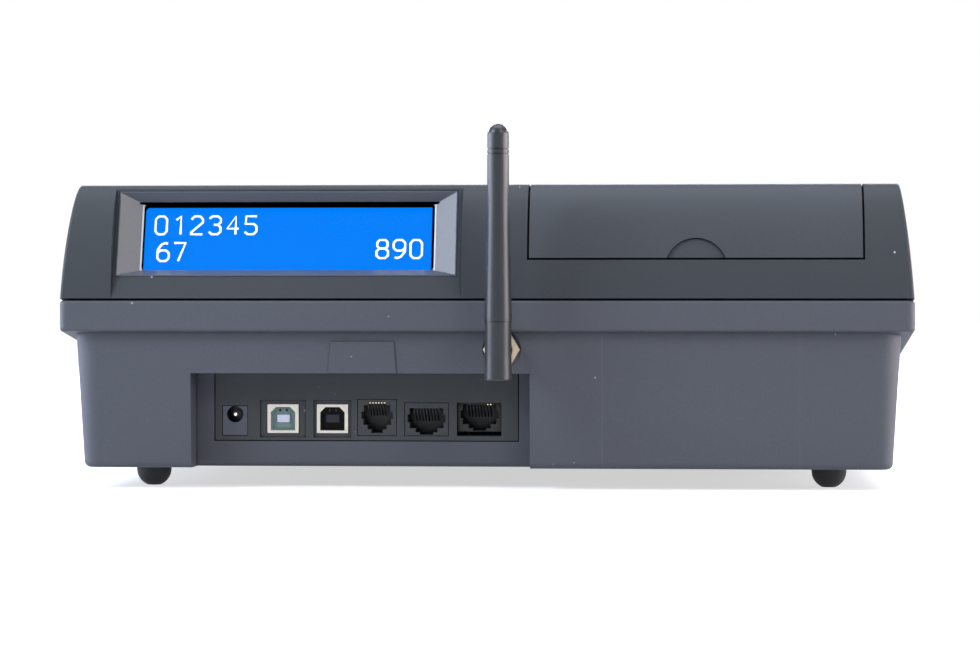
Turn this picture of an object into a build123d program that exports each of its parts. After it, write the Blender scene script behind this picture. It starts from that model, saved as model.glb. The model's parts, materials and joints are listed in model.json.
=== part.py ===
"""Electronic cash register with a customer display, a receipt printer and a tilting antenna.

The register stands on its rubber feet with z = 0 on the table. X runs along its width, the
customer's side with the connectors faces -Y and the operator's side with the keys faces +Y.
The origin lies on the table under the middle of the whole object, with the antenna upright in
front of the customer's side. All lengths are in millimetres.
"""
import os
from math import acos, atan2, cos, degrees, pi, radians, sin, sqrt, tan

from build123d import *

os.makedirs("parts", exist_ok=True)

# ---------------------------------------------------------------- case
case_width = 323.0            # over the belt, the rim of the lower housing
case_depth = 232.0            # over the belt
foot_height = 8.0
belt_top = 72.0               # height of the parting line at the customer's side
belt_height = 11.8
belt_step = 3.6               # the belt stands out this far from the walls below it
belt_corner = 3.0
belt_round = 1.2
parting_gap = 0.6
front_drop = 30.0             # the parting line falls this far towards the operator
wall = 2.5
body_draft = 3.6              # degrees
body_corner = 5.5
body_bottom_round = 2.4
crest_height = 116.0
cover_set = 0.25              # the cover stands back this far from the belt
cover_lean = 4.9              # each end wall leans in this much from the belt to the crest
cover_bow = 0.5               # bulge of the end walls
crest_depth = 18.0            # run of the curved customer's side, from front to back
top_end = 86.0                # end of the flat top, from the customer's face
top_fall = 2.0
facet_end = 112.0             # end of the operator display's slope
facet_end_height = 93.0
deck_margin = 8.0             # of the keyboard deck's end from the operator's side
deck_end_height = 56.0
cover_round = 1.2
top_round = 4.0               # of the creases across the top
front_round = 9.0
lip_gap = 0.3
lip_thickness = 1.5
lip_depth = 4.0
lip_root = 3.0
lip_lap = 0.3                 # the cover's wall reaches this far over the lip's outer face
cover_wall = wall + lip_gap + lip_lap
smallest_round = 0.6          # of inner corners whose outer round is thinner than the wall
overcut = 1.0                 # cutting shapes pass this far beyond the faces that they cut
clear_cut = 5.0               # and this far where those faces bulge or lean
deep_cut = 60.0               # and this far where they clear all that stands over a slope
root_lap = 1.0                # posts reach this far into the wall that they stand on
place_tolerance = 0.01        # of the places by which edges are chosen
edge_margin = 2.0             # of the places by which the end walls' edges are chosen

# ---------------------------------------------------------------- fasteners and feet
post_inset_side = 14.5        # of the screw posts from the belt's sides
post_inset_rear = 16.0
post_inset_front = 20.0
post_radius = 3.6
post_top = 38.0
screw_radius = 1.5
screw_hole_gap = 0.2
screw_head_radius = 2.8
screw_head_height = 2.2
screw_seat = 20.0             # height of the screw heads' seats
screw_length = 26.0
foot_inset_side = 30.5        # from the belt's sides
foot_inset = 35.0             # from the belt's front and back
foot_radius = 6.7
foot_flat = 2.6
foot_spigot_radius = 3.0
foot_gap = 0.1
foot_rim = 2.0                # height of the straight band at the top of each foot
screw_slot_length = 3.2
screw_slot_width = 0.7

# ---------------------------------------------------------------- connector niche
niche_left = -112.0
niche_right = 17.2
niche_top = 44.1
niche_depth = 20.0            # from the customer's face
niche_round = 2.2             # of the floor's edge at the niche's back
panel_left = -104.6
panel_right = 12.0
panel_bottom = 18.1
panel_gap = 0.4
panel_flange = 2.0
panel_flange_thickness = 1.5
panel_flange_lap = 2.0        # of the flanges onto the panel's back, at its sides
panel_flange_lap_low = 1.5    # and at its lower edge
tab_top_width = 24.0
tab_bottom_width = 26.0
tab_x = -46.3
tab_top = 56.2
tab_height = 0.45

# ---------------------------------------------------------------- sockets
board_top = 20.0
board_thickness = 1.6
socket_gap = 0.25             # between a socket and its cut-out in the panel
socket_depth = 16.0
jack_x = -97.0
jack_width = 9.5
jack_height = 11.1
jack_bore_radius = 3.15
jack_bore_height = 8.0        # above the board
jack_bore_depth = 9.5
jack_pin_radius = 1.05
jack_pin_round = 0.84
usb_x = (-78.5, -59.4)
usb_pocket_width = (17.8, 14.6)
usb_pocket_height = 14.4
usb_pocket_drop = 1.7         # of each pocket's lower edge under its metal shell
usb_pocket_depth = 0.8
usb_reach = 0.3               # of the metal shells out of their pockets
usb_leg_depth = 5.0
usb_width = 12.04
usb_height = 11.0
usb_mouth_width = 9.4
usb_mouth_height = 9.0
usb_mouth_chamfer = 2.0
usb_wall = 0.7
usb_insert_set = 0.3
usb_tongue_width = 5.6
usb_tongue_height = 3.2
usb_tongue_set = 1.0
usb_inside_depth = 9.0
usb_lift = 0.8                # of the metal shell above the board
rj12_x = -42.15
rj12_width = 14.7
rj12_height = 13.7
rj45_x = (-23.1, -2.9)
rj45_width = 16.6
rj45_height = 12.4
rj45_set = (0.0, 2.6)         # how far each jack's face stands behind the panel's face
rj45_lift = (0.0, 1.5)        # of each jack above the board
rj_inside_depth = 12.5
# width, lower and upper height above the jack's bottom of each step of the jacks' mouths
rj12_steps = (
    (4.4, 0.9, 2.3),
    (7.4, 2.3, 4.0),
    (10.7, 4.0, 6.3),
    (12.1, 6.3, 9.1),
    (10.2, 9.1, 11.6),
    (6.8, 11.6, 12.6),
)
rj45_steps = (
    (5.1, 0.3, 1.2),
    (8.4, 1.2, 2.8),
    (13.0, 2.8, 5.1),
    (14.6, 5.1, 8.1),
    (13.0, 8.1, 10.5),
)
jack_set = 0.2                # of the power jack's face behind the panel's face
socket_set = 0.1              # and of the modular jacks' faces
jack_pin_set = 1.2
peg_radius = 1.5              # of the pegs under a jack that stands above the board
peg_spread = 5.0
peg_back = 8.0
contact_set = 0.8             # of the contacts' ends behind the jack's face
contact_width = 0.5
contact_thickness = 0.35
rj12_pitch = 1.12
rj12_contacts = 6
rj45_pitch = 1.2
rj45_contacts = 8

# ---------------------------------------------------------------- antenna
antenna_x = 6.65
antenna_axis_height = 53.2
antenna_reach = 16.0          # of the tilt axis in front of the customer's face
nut_across_flats = 12.0
nut_height = 2.8
nut_seat = 5.3                # from the customer's face
spot_gap = 0.4
stud_radius = 3.1
stud_reach = 4.0              # of the threaded socket beyond its nut
stud_length = 12.0            # behind the nut
stud_gap = 0.05
stud_end_gap = 0.2
collar_radius = 4.4
collar_reach = 3.2            # in front of the customer's face
swivel_gap = 0.3
knuckle_radius = 4.95
knuckle_flare = 5.2
knuckle_flare_height = 9.0
knuckle_chamfer = 0.5
knuckle_down = 11.1
knuckle_up = 10.8
tongue_width = 3.6
tongue_radius = 3.4
tongue_gap = 0.4
tongue_lap = 0.5              # of the tongue into its collar
hinge_pin_radius = 1.0
hinge_pin_gap = 0.05
hinge_pin_set = 0.3           # of the pin's ends inside the knuckle's sides
whip_tip = 137.3
whip_radius = 4.0
whip_root_radius = 5.15
whip_root_band = 1.0
whip_taper_end = 108.0
whip_taper = 0.1              # that is left above the taper's end
whip_groove_height = 127.0
whip_groove_spread = 0.9      # of each groove from the height between them
whip_groove_width = 0.5
whip_groove_depth = 0.3

# ---------------------------------------------------------------- customer display
lean = 17.5                   # degrees that the display leans back
display_side = 19.9           # of the display's facet from the belt's side
display_right = -8.4
frame_inset_left = 1.3        # of the frame from the facet's left edge
frame_inset_right = 2.0
frame_low = 8.8               # along the slope, from the parting line
frame_high = 42.9
frame_side = 9.0
frame_rail = 3.8
frame_rim = 0.5               # flat rim around the frame's well
well_depth = 4.5
frame_throat = 4.0
throat_corner = 1.5
throat_lap = 0.5              # of the throat's cut into the well
frame_back = 14.0
frame_gap = 0.2
frame_ear = 3.0
frame_ear_thickness = 2.0
frame_ear_set = 6.0           # of the ears' upper edge below the frame's
pane_border = 4.0
pane_rail = 2.0
pane_fit = 0.1
pane_thickness = 1.5
module_thickness = 7.0

# ---------------------------------------------------------------- printer lid
lid_left = 17.2
lid_side = 19.4               # of the lid's right edge from the belt's side
lid_gap = 0.8
lid_low = 87.8
lid_wall = 2.2
lid_axis = 82.0               # from the customer's face
lid_barrel_radius = 3.4
lid_pin_radius = 1.25
lid_pin_gap = 0.05
lug_length = 8.0
lug_gap = 0.5
lug_inset = 4.0               # of the lugs from the lid's sides
lug_root = 10.0               # run of the lugs into the cover
ledge_gap = 0.4               # between the lid and the ledge under its edges
ledge_thickness = 2.0
ledge_outer = 4.0             # the ledge runs this far under the cover
ledge_inner = 3.0             # and this far under the lid
notch_radius = 11.8
notch_height = 7.5
notch_shift = 0.25            # of the finger scoop from the lid's middle
notch_depth = 1.1
notch_reach = 8.0             # of the scoop's cut behind the customer's face

# ---------------------------------------------------------------- printer
roll_radius = 32.0
roll_core_radius = 6.5
roll_core_wall = 1.5
roll_width = 79.5
roll_axis = 50.0              # from the customer's face
roll_axis_height = 64.0
roll_gap = 0.6
side_gap = 1.0
plate_thickness = 2.0
trough_thickness = 2.0
platen_axis = 96.0
platen_axis_height = 89.0
platen_radius = 5.5
shaft_radius = 2.0
shaft_gap = 0.05
shaft_end = 1.0               # of the platen's shaft beyond the plate without gears
platen_gap = 0.5
motor_radius = 9.0
motor_length = 16.0
motor_axis_height = 66.0
motor_axis = 99.0
gear_module = 1.0
gear_width = 3.5
gear_gap = 0.6
platen_teeth = 16
idler_teeth = 22
pinion_teeth = 14
gear_backlash = 0.25
gear_addendum = 0.8           # as a share of the module
gear_dedendum = 1.05
gear_root_rise = 0.05         # of an undercut flank's start above the root circle
gear_pressure_angle = 20.0
flank_points = 4
motor_shaft_radius = 1.5
motor_shaft_lap = 0.5         # of the motor's shaft into its pinion
motor_shaft_end_gap = 0.5     # behind the shaft, inside the motor
idler_axle_radius = 2.0
head_height = 14.0
head_thickness = 4.0
head_gap = 0.4                # between the print head and the platen
head_rise = 4.0               # of the print head's top above the platen's axis
plate_margin = 1.0            # of the side plates around what they carry
plate_rise = 12.0             # of the side plates above the roll's axis
plate_set = 6.0
plate_front = 4.0
axle_collar = 1.5
axle_collar_gap = 0.2         # between the axle's collar and the idler
axle_end = 0.5
slot_axis = 96.0
slot_width = 2.4
slot_side = 2.0               # the slot is this much longer than the paper at each end
slot_depth = 10.0
tear_bar_height = 5.0
tear_bar_thickness = 0.8
tear_bar_low = 0.4            # of the teeth's roots above the slope
tear_bar_high = 1.2           # and of their tips
tear_bar_pitch = 2.5

# ---------------------------------------------------------------- operator's side
screen_width = 126.0
screen_height = 25.0
screen_depth = 1.2
screen_pane = 1.0
screen_pane_gap = 0.1
screen_module = 8.0
screen_module_gap = 0.3
screen_frame = 2.5
key_rows = 4
deck_border = 15.0            # of the rows of keys from the deck's ends
row_gap = 6.0                 # between the caps of two rows
digit_pitch = 28.0
digit_width = 23.0
side_key_width = 38.0
side_key_x = 76.0
key_travel = 3.0
key_rise = 5.0
key_gap = 0.5
key_flange = 1.2
key_flange_height = 1.2
key_rest_gap = 0.4
key_stem = 3.0
key_stem_gap = 0.4            # between a pressed key's stem and the board
key_base = 0.5                # height of the caps' straight sides above the deck
key_taper = 14.0              # degrees
key_round = 0.7
board_drop = 12.0             # of the keyboard's circuit board below the deck
board_margin = 8.0
boss_radius = 2.5
boss_inset = 3.0              # of the bosses from the keyboard board's corners

# ---------------------------------------------------------------- inside
standoff_radius = 3.0
standoff_inset = 6.0          # from the main board's sides
standoff_set = 30.0           # of the nearer pair from the board's edge with the sockets
mainboard_reach_left = 6.0    # of the main board beyond the niche's sides
mainboard_reach_right = 4.8
mainboard_near = 24.4
mainboard_far = 112.0
battery_size = (74.0, 38.0, 20.0)
battery_side = 29.5           # of the battery pack from the belt's side
battery_inset = 165.0
control_size = (86.0, 58.0, 26.0)
control_side = 48.5           # of the control unit from the belt's side
control_inset = 165.0
battery_round = 4.0
control_round = 2.0

# ---------------------------------------------------------------- worked out from the sizes above
customer_y = -(case_depth - antenna_reach - knuckle_flare) / 2
operator_y = customer_y + case_depth
case_middle_y = (customer_y + operator_y) / 2
post_x = case_width / 2 - post_inset_side
foot_x = case_width / 2 - foot_inset_side
display_left = display_side - case_width / 2
frame_left = display_left + frame_inset_left
frame_right = display_right - frame_inset_right
lid_right = case_width / 2 - lid_side
printer_x = (lid_left + lid_right) / 2
notch_x = printer_x + notch_shift
screen_x = (display_left + display_right) / 2
mainboard_left = niche_left - mainboard_reach_left
mainboard_right = niche_right + mainboard_reach_right
battery_x = battery_side + battery_size[0] / 2 - case_width / 2
control_x = case_width / 2 - control_side - control_size[0] / 2
fall_angle = degrees(atan2(front_drop, case_depth))
floor_top = foot_height + wall
cover_half = case_width / 2 - cover_set
roll_y = customer_y + roll_axis
platen_y = customer_y + platen_axis
motor_y = customer_y + motor_axis
lid_axis_y = customer_y + lid_axis
top_slope = top_fall / (top_end - cover_set - crest_depth)
lid_axis_height = crest_height - top_slope * (lid_axis - cover_set - crest_depth) - lid_barrel_radius

parting = Plane(
    origin=(0, customer_y, belt_top),
    x_dir=(1, 0, 0),
    z_dir=(0, sin(radians(fall_angle)), cos(radians(fall_angle))),
)
display_plane = Plane(
    origin=(0, customer_y + cover_set, belt_top + parting_gap),
    x_dir=(1, 0, 0),
    z_dir=(0, -cos(radians(lean)), sin(radians(lean))),
)
facet_run = facet_end - top_end
facet_fall = crest_height - top_fall - facet_end_height
screen_plane = Plane(
    origin=(0, customer_y + top_end + facet_run / 2, facet_end_height + facet_fall / 2),
    x_dir=(1, 0, 0),
    z_dir=(0, facet_fall, facet_run),
)
deck_end = case_depth - deck_margin
deck_run = deck_end - facet_end
deck_fall = facet_end_height - deck_end_height
deck_length = sqrt(deck_run**2 + deck_fall**2)
row_pitch = round((deck_length - 2 * deck_border) / key_rows, 1)
key_height = row_pitch - row_gap
deck_plane = Plane(
    origin=(0, customer_y + facet_end + deck_run / 2, deck_end_height + deck_fall / 2),
    x_dir=(1, 0, 0),
    z_dir=(0, deck_fall, deck_run),
)


def parting_height(y):
    """Height of the parting line at a place along the depth."""
    return belt_top - front_drop * (y - customer_y) / case_depth


def box_between(x, y, z, mode=Mode.ADD):
    """Box between two values along each axis, in the block that is open."""
    with Locations(((x[0] + x[1]) / 2, (y[0] + y[1]) / 2, (z[0] + z[1]) / 2)):
        Box(x[1] - x[0], y[1] - y[0], z[1] - z[0], mode=mode)


def drafted_body(inset, bottom):
    """Drafted body of the lower housing, with its walls moved in and its bottom at a height."""
    run = tan(radians(body_draft)) * (belt_top - bottom)
    width = case_width - 2 * (belt_step + run + inset)
    depth = case_depth - 2 * (belt_step + run + inset)
    with BuildPart() as body:
        with BuildSketch(Plane.XY.offset(bottom)):
            with Locations((0, case_middle_y)):
                RectangleRounded(width, depth, max(body_corner - inset, smallest_round))
        extrude(amount=belt_top - bottom, taper=-body_draft)
    return body.part


def belt_slab(inset, rise, height, rim_round=0.0):
    """Slab along the parting line, with its upper face this far above it."""
    near = customer_y + inset
    far = operator_y - inset
    with BuildPart() as slab:
        with BuildSketch(Plane.YZ):
            with BuildLine():
                Polyline(
                    (near, parting_height(near) + rise),
                    (far, parting_height(far) + rise),
                    (far, parting_height(far) + rise - height),
                    (near, parting_height(near) + rise - height),
                    close=True,
                )
            make_face()
        extrude(amount=case_width / 2 - inset, both=True)
        fillet(slab.edges().filter_by(Axis.Z), max(belt_corner - inset, smallest_round))
        if rim_round > 0:
            levels = slab.faces().sort_by(Axis.Z)
            fillet(levels[0].edges() + levels[-1].edges(), rim_round)
    return slab.part


def inset_corner(before, corner, after, inset):
    """Corner of an outline moved in by a distance, with the inside on the right of the path."""
    first = (Vector(*corner) - Vector(*before)).normalized()
    second = (Vector(*after) - Vector(*corner)).normalized()
    first_normal = Vector(first.Y, -first.X)
    second_normal = Vector(second.Y, -second.X)
    shift = (first_normal + second_normal) / (1 + first_normal.dot(second_normal))
    return Vector(*corner) + shift * inset


def cover_volume(inset):
    """Volume under the upper cover's skin, with the skin moved in, down to the table."""
    near = customer_y + cover_set
    far = operator_y - cover_set
    crest = (near + crest_depth, crest_height)
    top_corner = (customer_y + top_end, crest_height - top_fall)
    deck_corner = (customer_y + facet_end, facet_end_height)
    front_corner = (far, deck_end_height - (far - customer_y - deck_end) * deck_fall / deck_run)
    top_inset = inset_corner(crest, top_corner, deck_corner, inset)
    deck_inset = inset_corner(top_corner, deck_corner, front_corner, inset)
    front_inset = inset_corner(deck_corner, front_corner, (far, 0), inset)
    with BuildPart() as volume:
        with BuildSketch(Plane.YZ):
            with BuildLine():
                Polyline((near + inset, 0), (near + inset, belt_top))
                EllipticalCenterArc(
                    (near + crest_depth, belt_top),
                    crest_depth - inset,
                    crest_height - belt_top - inset,
                    start_angle=90,
                    arc_size=90,
                )
                Polyline(
                    (near + crest_depth, crest_height - inset),
                    top_inset,
                    deck_inset,
                    front_inset,
                    (far - inset, 0),
                    (near + inset, 0),
                )
            make_face()
            fillet(vertices().sort_by_distance(top_inset)[0], max(top_round - inset, smallest_round))
            fillet(vertices().sort_by_distance(deck_inset)[0], top_round + inset)
            fillet(vertices().sort_by_distance(front_inset)[0], max(front_round - inset, smallest_round))
        extrude(amount=case_width, both=True)
        with BuildSketch(Plane.XZ):
            with BuildLine():
                half = cover_half - inset
                top_half = half - cover_lean
                middle = (half + top_half) / 2 + cover_bow
                top_line = crest_height + overcut
                Polyline((-half, belt_top), (-half, 0), (half, 0), (half, belt_top))
                ThreePointArc(
                    (half, belt_top),
                    (middle, (belt_top + crest_height) / 2),
                    (top_half, top_line),
                )
                Line((top_half, top_line), (-top_half, top_line))
                ThreePointArc(
                    (-top_half, top_line),
                    (-middle, (belt_top + crest_height) / 2),
                    (-half, belt_top),
                )
            make_face()
        extrude(amount=case_depth, both=True, mode=Mode.INTERSECT)
    return volume.part


def half_space(plane, low, high):
    """Block wider than the case that fills the space between two distances from a plane."""
    size = case_width + case_depth
    with BuildPart() as space:
        with BuildSketch(plane.offset(low)):
            Rectangle(size, size)
        extrude(amount=high - low)
    return space.part


# ---------------------------------------------------------------- lower housing
post_places = [
    (-post_x, customer_y + post_inset_rear),
    (post_x, customer_y + post_inset_rear),
    (-post_x, operator_y - post_inset_front),
    (post_x, operator_y - post_inset_front),
]
foot_places = [
    (-foot_x, customer_y + foot_inset),
    (foot_x, customer_y + foot_inset),
    (-foot_x, operator_y - foot_inset),
    (foot_x, operator_y - foot_inset),
]
niche_back = customer_y + niche_depth
standoff_places = [
    (mainboard_left + standoff_inset, customer_y + mainboard_near + standoff_set),
    (mainboard_right - standoff_inset, customer_y + mainboard_near + standoff_set),
    (mainboard_left + standoff_inset, customer_y + mainboard_far - standoff_inset),
    (mainboard_right - standoff_inset, customer_y + mainboard_far - standoff_inset),
]
board_bottom = board_top - board_thickness
nut_y = customer_y + nut_seat
rear_tilt = Plane(
    origin=(0, customer_y + belt_step, belt_top),
    x_dir=(1, 0, 0),
    z_dir=(0, -cos(radians(body_draft)), -sin(radians(body_draft))),
)

housing_outside = drafted_body(0, foot_height)
housing_inside = drafted_body(wall, floor_top)
belt_outside = belt_slab(0, 0, belt_height, belt_round)
belt_inside = belt_slab(wall, overcut, belt_height - wall + overcut)
above_parting = half_space(parting, 0, crest_height)

with BuildPart() as housing_cavity:
    add(housing_inside)
    add(belt_inside)
    box_between(
        (niche_left - wall, niche_right + wall),
        (customer_y, niche_back + wall),
        (0, niche_top + wall),
        mode=Mode.SUBTRACT,
    )

with BuildPart() as lower_housing:
    add(housing_outside)
    fillet(lower_housing.faces().sort_by(Axis.Z)[0].edges(), body_bottom_round)
    add(above_parting, mode=Mode.SUBTRACT)
    add(belt_outside)
    add(housing_cavity.part, mode=Mode.SUBTRACT)
    # niche for the cables, open to the customer's side and downwards
    box_between(
        (niche_left, niche_right),
        (customer_y - clear_cut, niche_back),
        (0, niche_top),
        mode=Mode.SUBTRACT,
    )
    fillet(
        lower_housing.edges()
        .filter_by(Axis.X)
        .filter_by_position(Axis.Y, niche_back - place_tolerance, niche_back + place_tolerance)
        .filter_by_position(Axis.Z, foot_height - place_tolerance, foot_height + place_tolerance),
        niche_round,
    )
    box_between(
        (panel_left - panel_gap, panel_right + panel_gap),
        (niche_back - overcut, niche_back + wall + overcut),
        (panel_bottom - panel_gap, niche_top),
        mode=Mode.SUBTRACT,
    )
    # raised tab above the niche
    with BuildSketch(rear_tilt):
        with BuildLine():
            Polyline(
                (tab_x - tab_top_width / 2, tab_top - belt_top),
                (tab_x + tab_top_width / 2, tab_top - belt_top),
                (tab_x + tab_bottom_width / 2, niche_top - belt_top),
                (tab_x - tab_bottom_width / 2, niche_top - belt_top),
                close=True,
            )
        make_face()
    extrude(amount=tab_height)
    # posts for the case screws
    with BuildSketch(Plane.XY.offset(floor_top - root_lap)):
        with Locations(post_places):
            Circle(post_radius)
    extrude(amount=post_top - floor_top + root_lap)
    with BuildSketch(Plane.XY):
        with Locations(post_places):
            Circle(screw_head_radius + screw_hole_gap)
    extrude(amount=screw_seat, mode=Mode.SUBTRACT)
    with BuildSketch(Plane.XY):
        with Locations(post_places):
            Circle(screw_radius + screw_hole_gap)
    extrude(amount=post_top + overcut, mode=Mode.SUBTRACT)
    # sockets for the feet's spigots
    with BuildSketch(Plane.XY.offset(foot_height - overcut)):
        with Locations(foot_places):
            Circle(foot_spigot_radius + foot_gap)
    extrude(amount=wall + 2 * overcut, mode=Mode.SUBTRACT)
    # standoffs under the main board
    with BuildSketch(Plane.XY.offset(floor_top - root_lap)):
        with Locations(standoff_places):
            Circle(standoff_radius)
    extrude(amount=board_bottom - floor_top + root_lap)
    # flat seat and hole for the antenna socket
    with BuildSketch(Plane.XZ.offset(-nut_y)):
        with Locations((antenna_x, antenna_axis_height)):
            Circle(nut_across_flats / sqrt(3) + spot_gap)
    extrude(amount=nut_seat + overcut, mode=Mode.SUBTRACT)
    with BuildSketch(Plane.XZ.offset(overcut - nut_y)):
        with Locations((antenna_x, antenna_axis_height)):
            Circle(stud_radius + stud_gap)
    extrude(amount=-wall - 4 * overcut, mode=Mode.SUBTRACT)
lower_housing.part.label = "lower_housing"
export_step(lower_housing.part, "parts/lower_housing.step")

# ---------------------------------------------------------------- upper cover
screen_pane_width = screen_width + 2 * screen_frame
screen_pane_height = screen_height + 2 * screen_frame
frame_x = (frame_left + frame_right) / 2
frame_width = frame_right - frame_left
frame_height = frame_high - frame_low
frame_middle = (frame_high + frame_low) / 2
display_x = (display_left + display_right) / 2
display_width = display_right - display_left
lug_places = [lid_left + lug_inset + lug_length / 2, lid_right - lug_inset - lug_length / 2]
lid_edge_y = lid_axis_y + lid_barrel_radius + lug_gap
slot_y = customer_y + slot_axis
slot_surface = crest_height - top_fall - (slot_axis - top_end) * facet_fall / facet_run
facet_middle = (crest_height - belt_top) / 2
facet_size = 2 * (crest_height - belt_top)
digit_names = ("7", "8", "9", "4", "5", "6", "1", "2", "3", "0", "00", "point")
operator_names = ("clear", "plus", "minus", "total")
function_names = ("menu", "up", "down", "feed")


def key_list():
    """Name, place on the deck and width of every key."""
    keys = []
    for index, name in enumerate(digit_names):
        row, column = divmod(index, 3)
        x = (1 - column) * digit_pitch
        keys.append((f"key_{name}", x, (row - (key_rows - 1) / 2) * row_pitch, digit_width))
    for row in range(key_rows):
        y = (row - (key_rows - 1) / 2) * row_pitch
        keys.append((f"key_{operator_names[row]}", -side_key_x, y, side_key_width))
        keys.append((f"key_{function_names[row]}", side_key_x, y, side_key_width))
    return keys


keys = key_list()
key_area_half = side_key_x + side_key_width / 2
key_rows_half = (key_rows - 1) / 2 * row_pitch + key_height / 2
key_board_x = key_area_half + board_margin
key_board_y = key_rows_half + board_margin
key_boss_places = [
    (sign_x * (key_board_x - boss_inset), sign_y * (key_board_y - boss_inset))
    for sign_x in (-1, 1)
    for sign_y in (-1, 1)
]

cover_outside = cover_volume(0)
cover_inside = cover_volume(cover_wall)
boss_limit = cover_volume(cover_wall / 2)
lid_inside = cover_volume(lid_wall)
notch_floor = cover_volume(notch_depth)
ledge_outside = cover_volume(lid_wall + ledge_gap)
ledge_inside = cover_volume(lid_wall + ledge_gap + ledge_thickness)
below_parting = half_space(parting, -crest_height, parting_gap)
lip_height = lip_root + lip_depth
lip_outside = belt_slab(wall + lip_gap, lip_root, lip_height)
lip_inside = belt_slab(wall + lip_gap + lip_thickness, lip_root + overcut, lip_height + 2 * overcut)

with BuildPart() as cover_cavity:
    add(cover_inside)
    with BuildSketch(display_plane.offset(-cover_wall)):
        with Locations((display_x, facet_middle)):
            Rectangle(display_width + 2 * cover_wall, facet_size)
    extrude(amount=deep_cut, mode=Mode.SUBTRACT)

with BuildPart() as lid_ledge:
    add(ledge_outside)
    add(ledge_inside, mode=Mode.SUBTRACT)
    box_between(
        (lid_left - ledge_outer, lid_right + ledge_outer),
        (customer_y, lid_axis_y - lid_barrel_radius - ledge_inner),
        (lid_low - ledge_outer, crest_height),
        mode=Mode.INTERSECT,
    )
    box_between(
        (lid_left + ledge_inner, lid_right - ledge_inner),
        (customer_y - overcut, lid_axis_y),
        (lid_low + ledge_inner, crest_height + overcut),
        mode=Mode.SUBTRACT,
    )

with BuildPart() as cover_bosses:
    with BuildSketch(Plane.XY.offset(post_top)):
        with Locations(post_places):
            Circle(post_radius)
    extrude(amount=crest_height)
    add(boss_limit, mode=Mode.INTERSECT)

with BuildPart() as lid_lugs:
    for lug_x in lug_places:
        with BuildSketch(Plane.YZ.offset(lug_x)):
            with Locations((lid_axis_y, lid_axis_height)):
                Circle(lid_barrel_radius)
            with Locations((lid_axis_y + lug_root / 2, lid_axis_height)):
                Rectangle(lug_root, 2 * lid_barrel_radius)
        extrude(amount=lug_length / 2, both=True)
    add(cover_outside, mode=Mode.INTERSECT)

with BuildPart() as lip:
    add(lip_outside)
    add(lip_inside, mode=Mode.SUBTRACT)

with BuildPart() as upper_cover:
    add(cover_outside)
    fillet(
        upper_cover.edges().filter_by(
            lambda edge: abs(edge.center().X) > cover_half - cover_lean - edge_margin
            and edge.center().Z > parting_height(edge.center().Y) - edge_margin
        ),
        cover_round,
    )
    add(cover_cavity.part, mode=Mode.SUBTRACT)
    add(below_parting, mode=Mode.SUBTRACT)
    add(lip.part)
    add(cover_bosses.part)
    # flat facet that leans back around the customer's display
    with BuildSketch(display_plane):
        with Locations((display_x, facet_middle)):
            Rectangle(display_width, facet_size)
    extrude(amount=deep_cut, mode=Mode.SUBTRACT)
    with BuildSketch(display_plane.offset(clear_cut)):
        with Locations((frame_x, frame_middle)):
            Rectangle(frame_width + 2 * frame_gap, frame_height + 2 * frame_gap)
    extrude(amount=-clear_cut - frame_back - 2 * overcut, mode=Mode.SUBTRACT)
    # opening for the paper lid, with a ledge under its edges
    box_between(
        (lid_left - lid_gap, lid_right + lid_gap),
        (customer_y - clear_cut, lid_edge_y),
        (lid_low - lid_gap, crest_height + clear_cut),
        mode=Mode.SUBTRACT,
    )
    add(lid_ledge.part)
    add(lid_lugs.part)
    with BuildSketch(Plane.YZ.offset(lid_left)):
        with Locations((lid_axis_y, lid_axis_height)):
            Circle(lid_pin_radius)
    extrude(amount=lid_right - lid_left, mode=Mode.SUBTRACT)
    # slot for the paper, with a seat for the tear bar
    box_between(
        (printer_x - roll_width / 2 - slot_side, printer_x + roll_width / 2 + slot_side),
        (slot_y - slot_width / 2, slot_y + slot_width / 2 + tear_bar_thickness),
        (slot_surface - slot_depth, slot_surface + slot_depth),
        mode=Mode.SUBTRACT,
    )
    # operator's display: a shallow pocket for the pane and an opening for the module
    with BuildSketch(screen_plane.offset(clear_cut)):
        with Locations((screen_x, 0)):
            Rectangle(screen_pane_width + 2 * screen_pane_gap, screen_pane_height + 2 * screen_pane_gap)
    extrude(amount=-clear_cut - screen_depth, mode=Mode.SUBTRACT)
    with BuildSketch(screen_plane):
        with Locations((screen_x, 0)):
            Rectangle(screen_width, screen_height)
    extrude(amount=-cover_wall - 3 * overcut, mode=Mode.SUBTRACT)
    # keys
    with BuildSketch(deck_plane.offset(2 * overcut)):
        for name, x, y, width in keys:
            with Locations((x, y)):
                Rectangle(width + 2 * key_gap, key_height + 2 * key_gap)
    extrude(amount=-cover_wall - 4 * overcut, mode=Mode.SUBTRACT)
    with BuildSketch(deck_plane.offset(-board_drop)):
        with Locations(key_boss_places):
            Circle(boss_radius)
    extrude(amount=board_drop - cover_wall / 2)
    # pilot holes for the case screws
    with BuildSketch(Plane.XY.offset(post_top - overcut)):
        with Locations(post_places):
            Circle(screw_radius)
    extrude(amount=screw_seat + screw_length - post_top + 2 * overcut, mode=Mode.SUBTRACT)
upper_cover.part.label = "upper_cover"
export_step(upper_cover.part, "parts/upper_cover.step")

# ---------------------------------------------------------------- paper lid
with BuildPart() as notch_scoop:
    with BuildSketch(Plane.XZ.offset(-customer_y - notch_reach)):
        with Locations((notch_x, lid_low + notch_height - notch_radius)):
            Circle(notch_radius)
    extrude(amount=notch_reach + 2 * overcut)
    add(notch_floor, mode=Mode.SUBTRACT)

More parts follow.
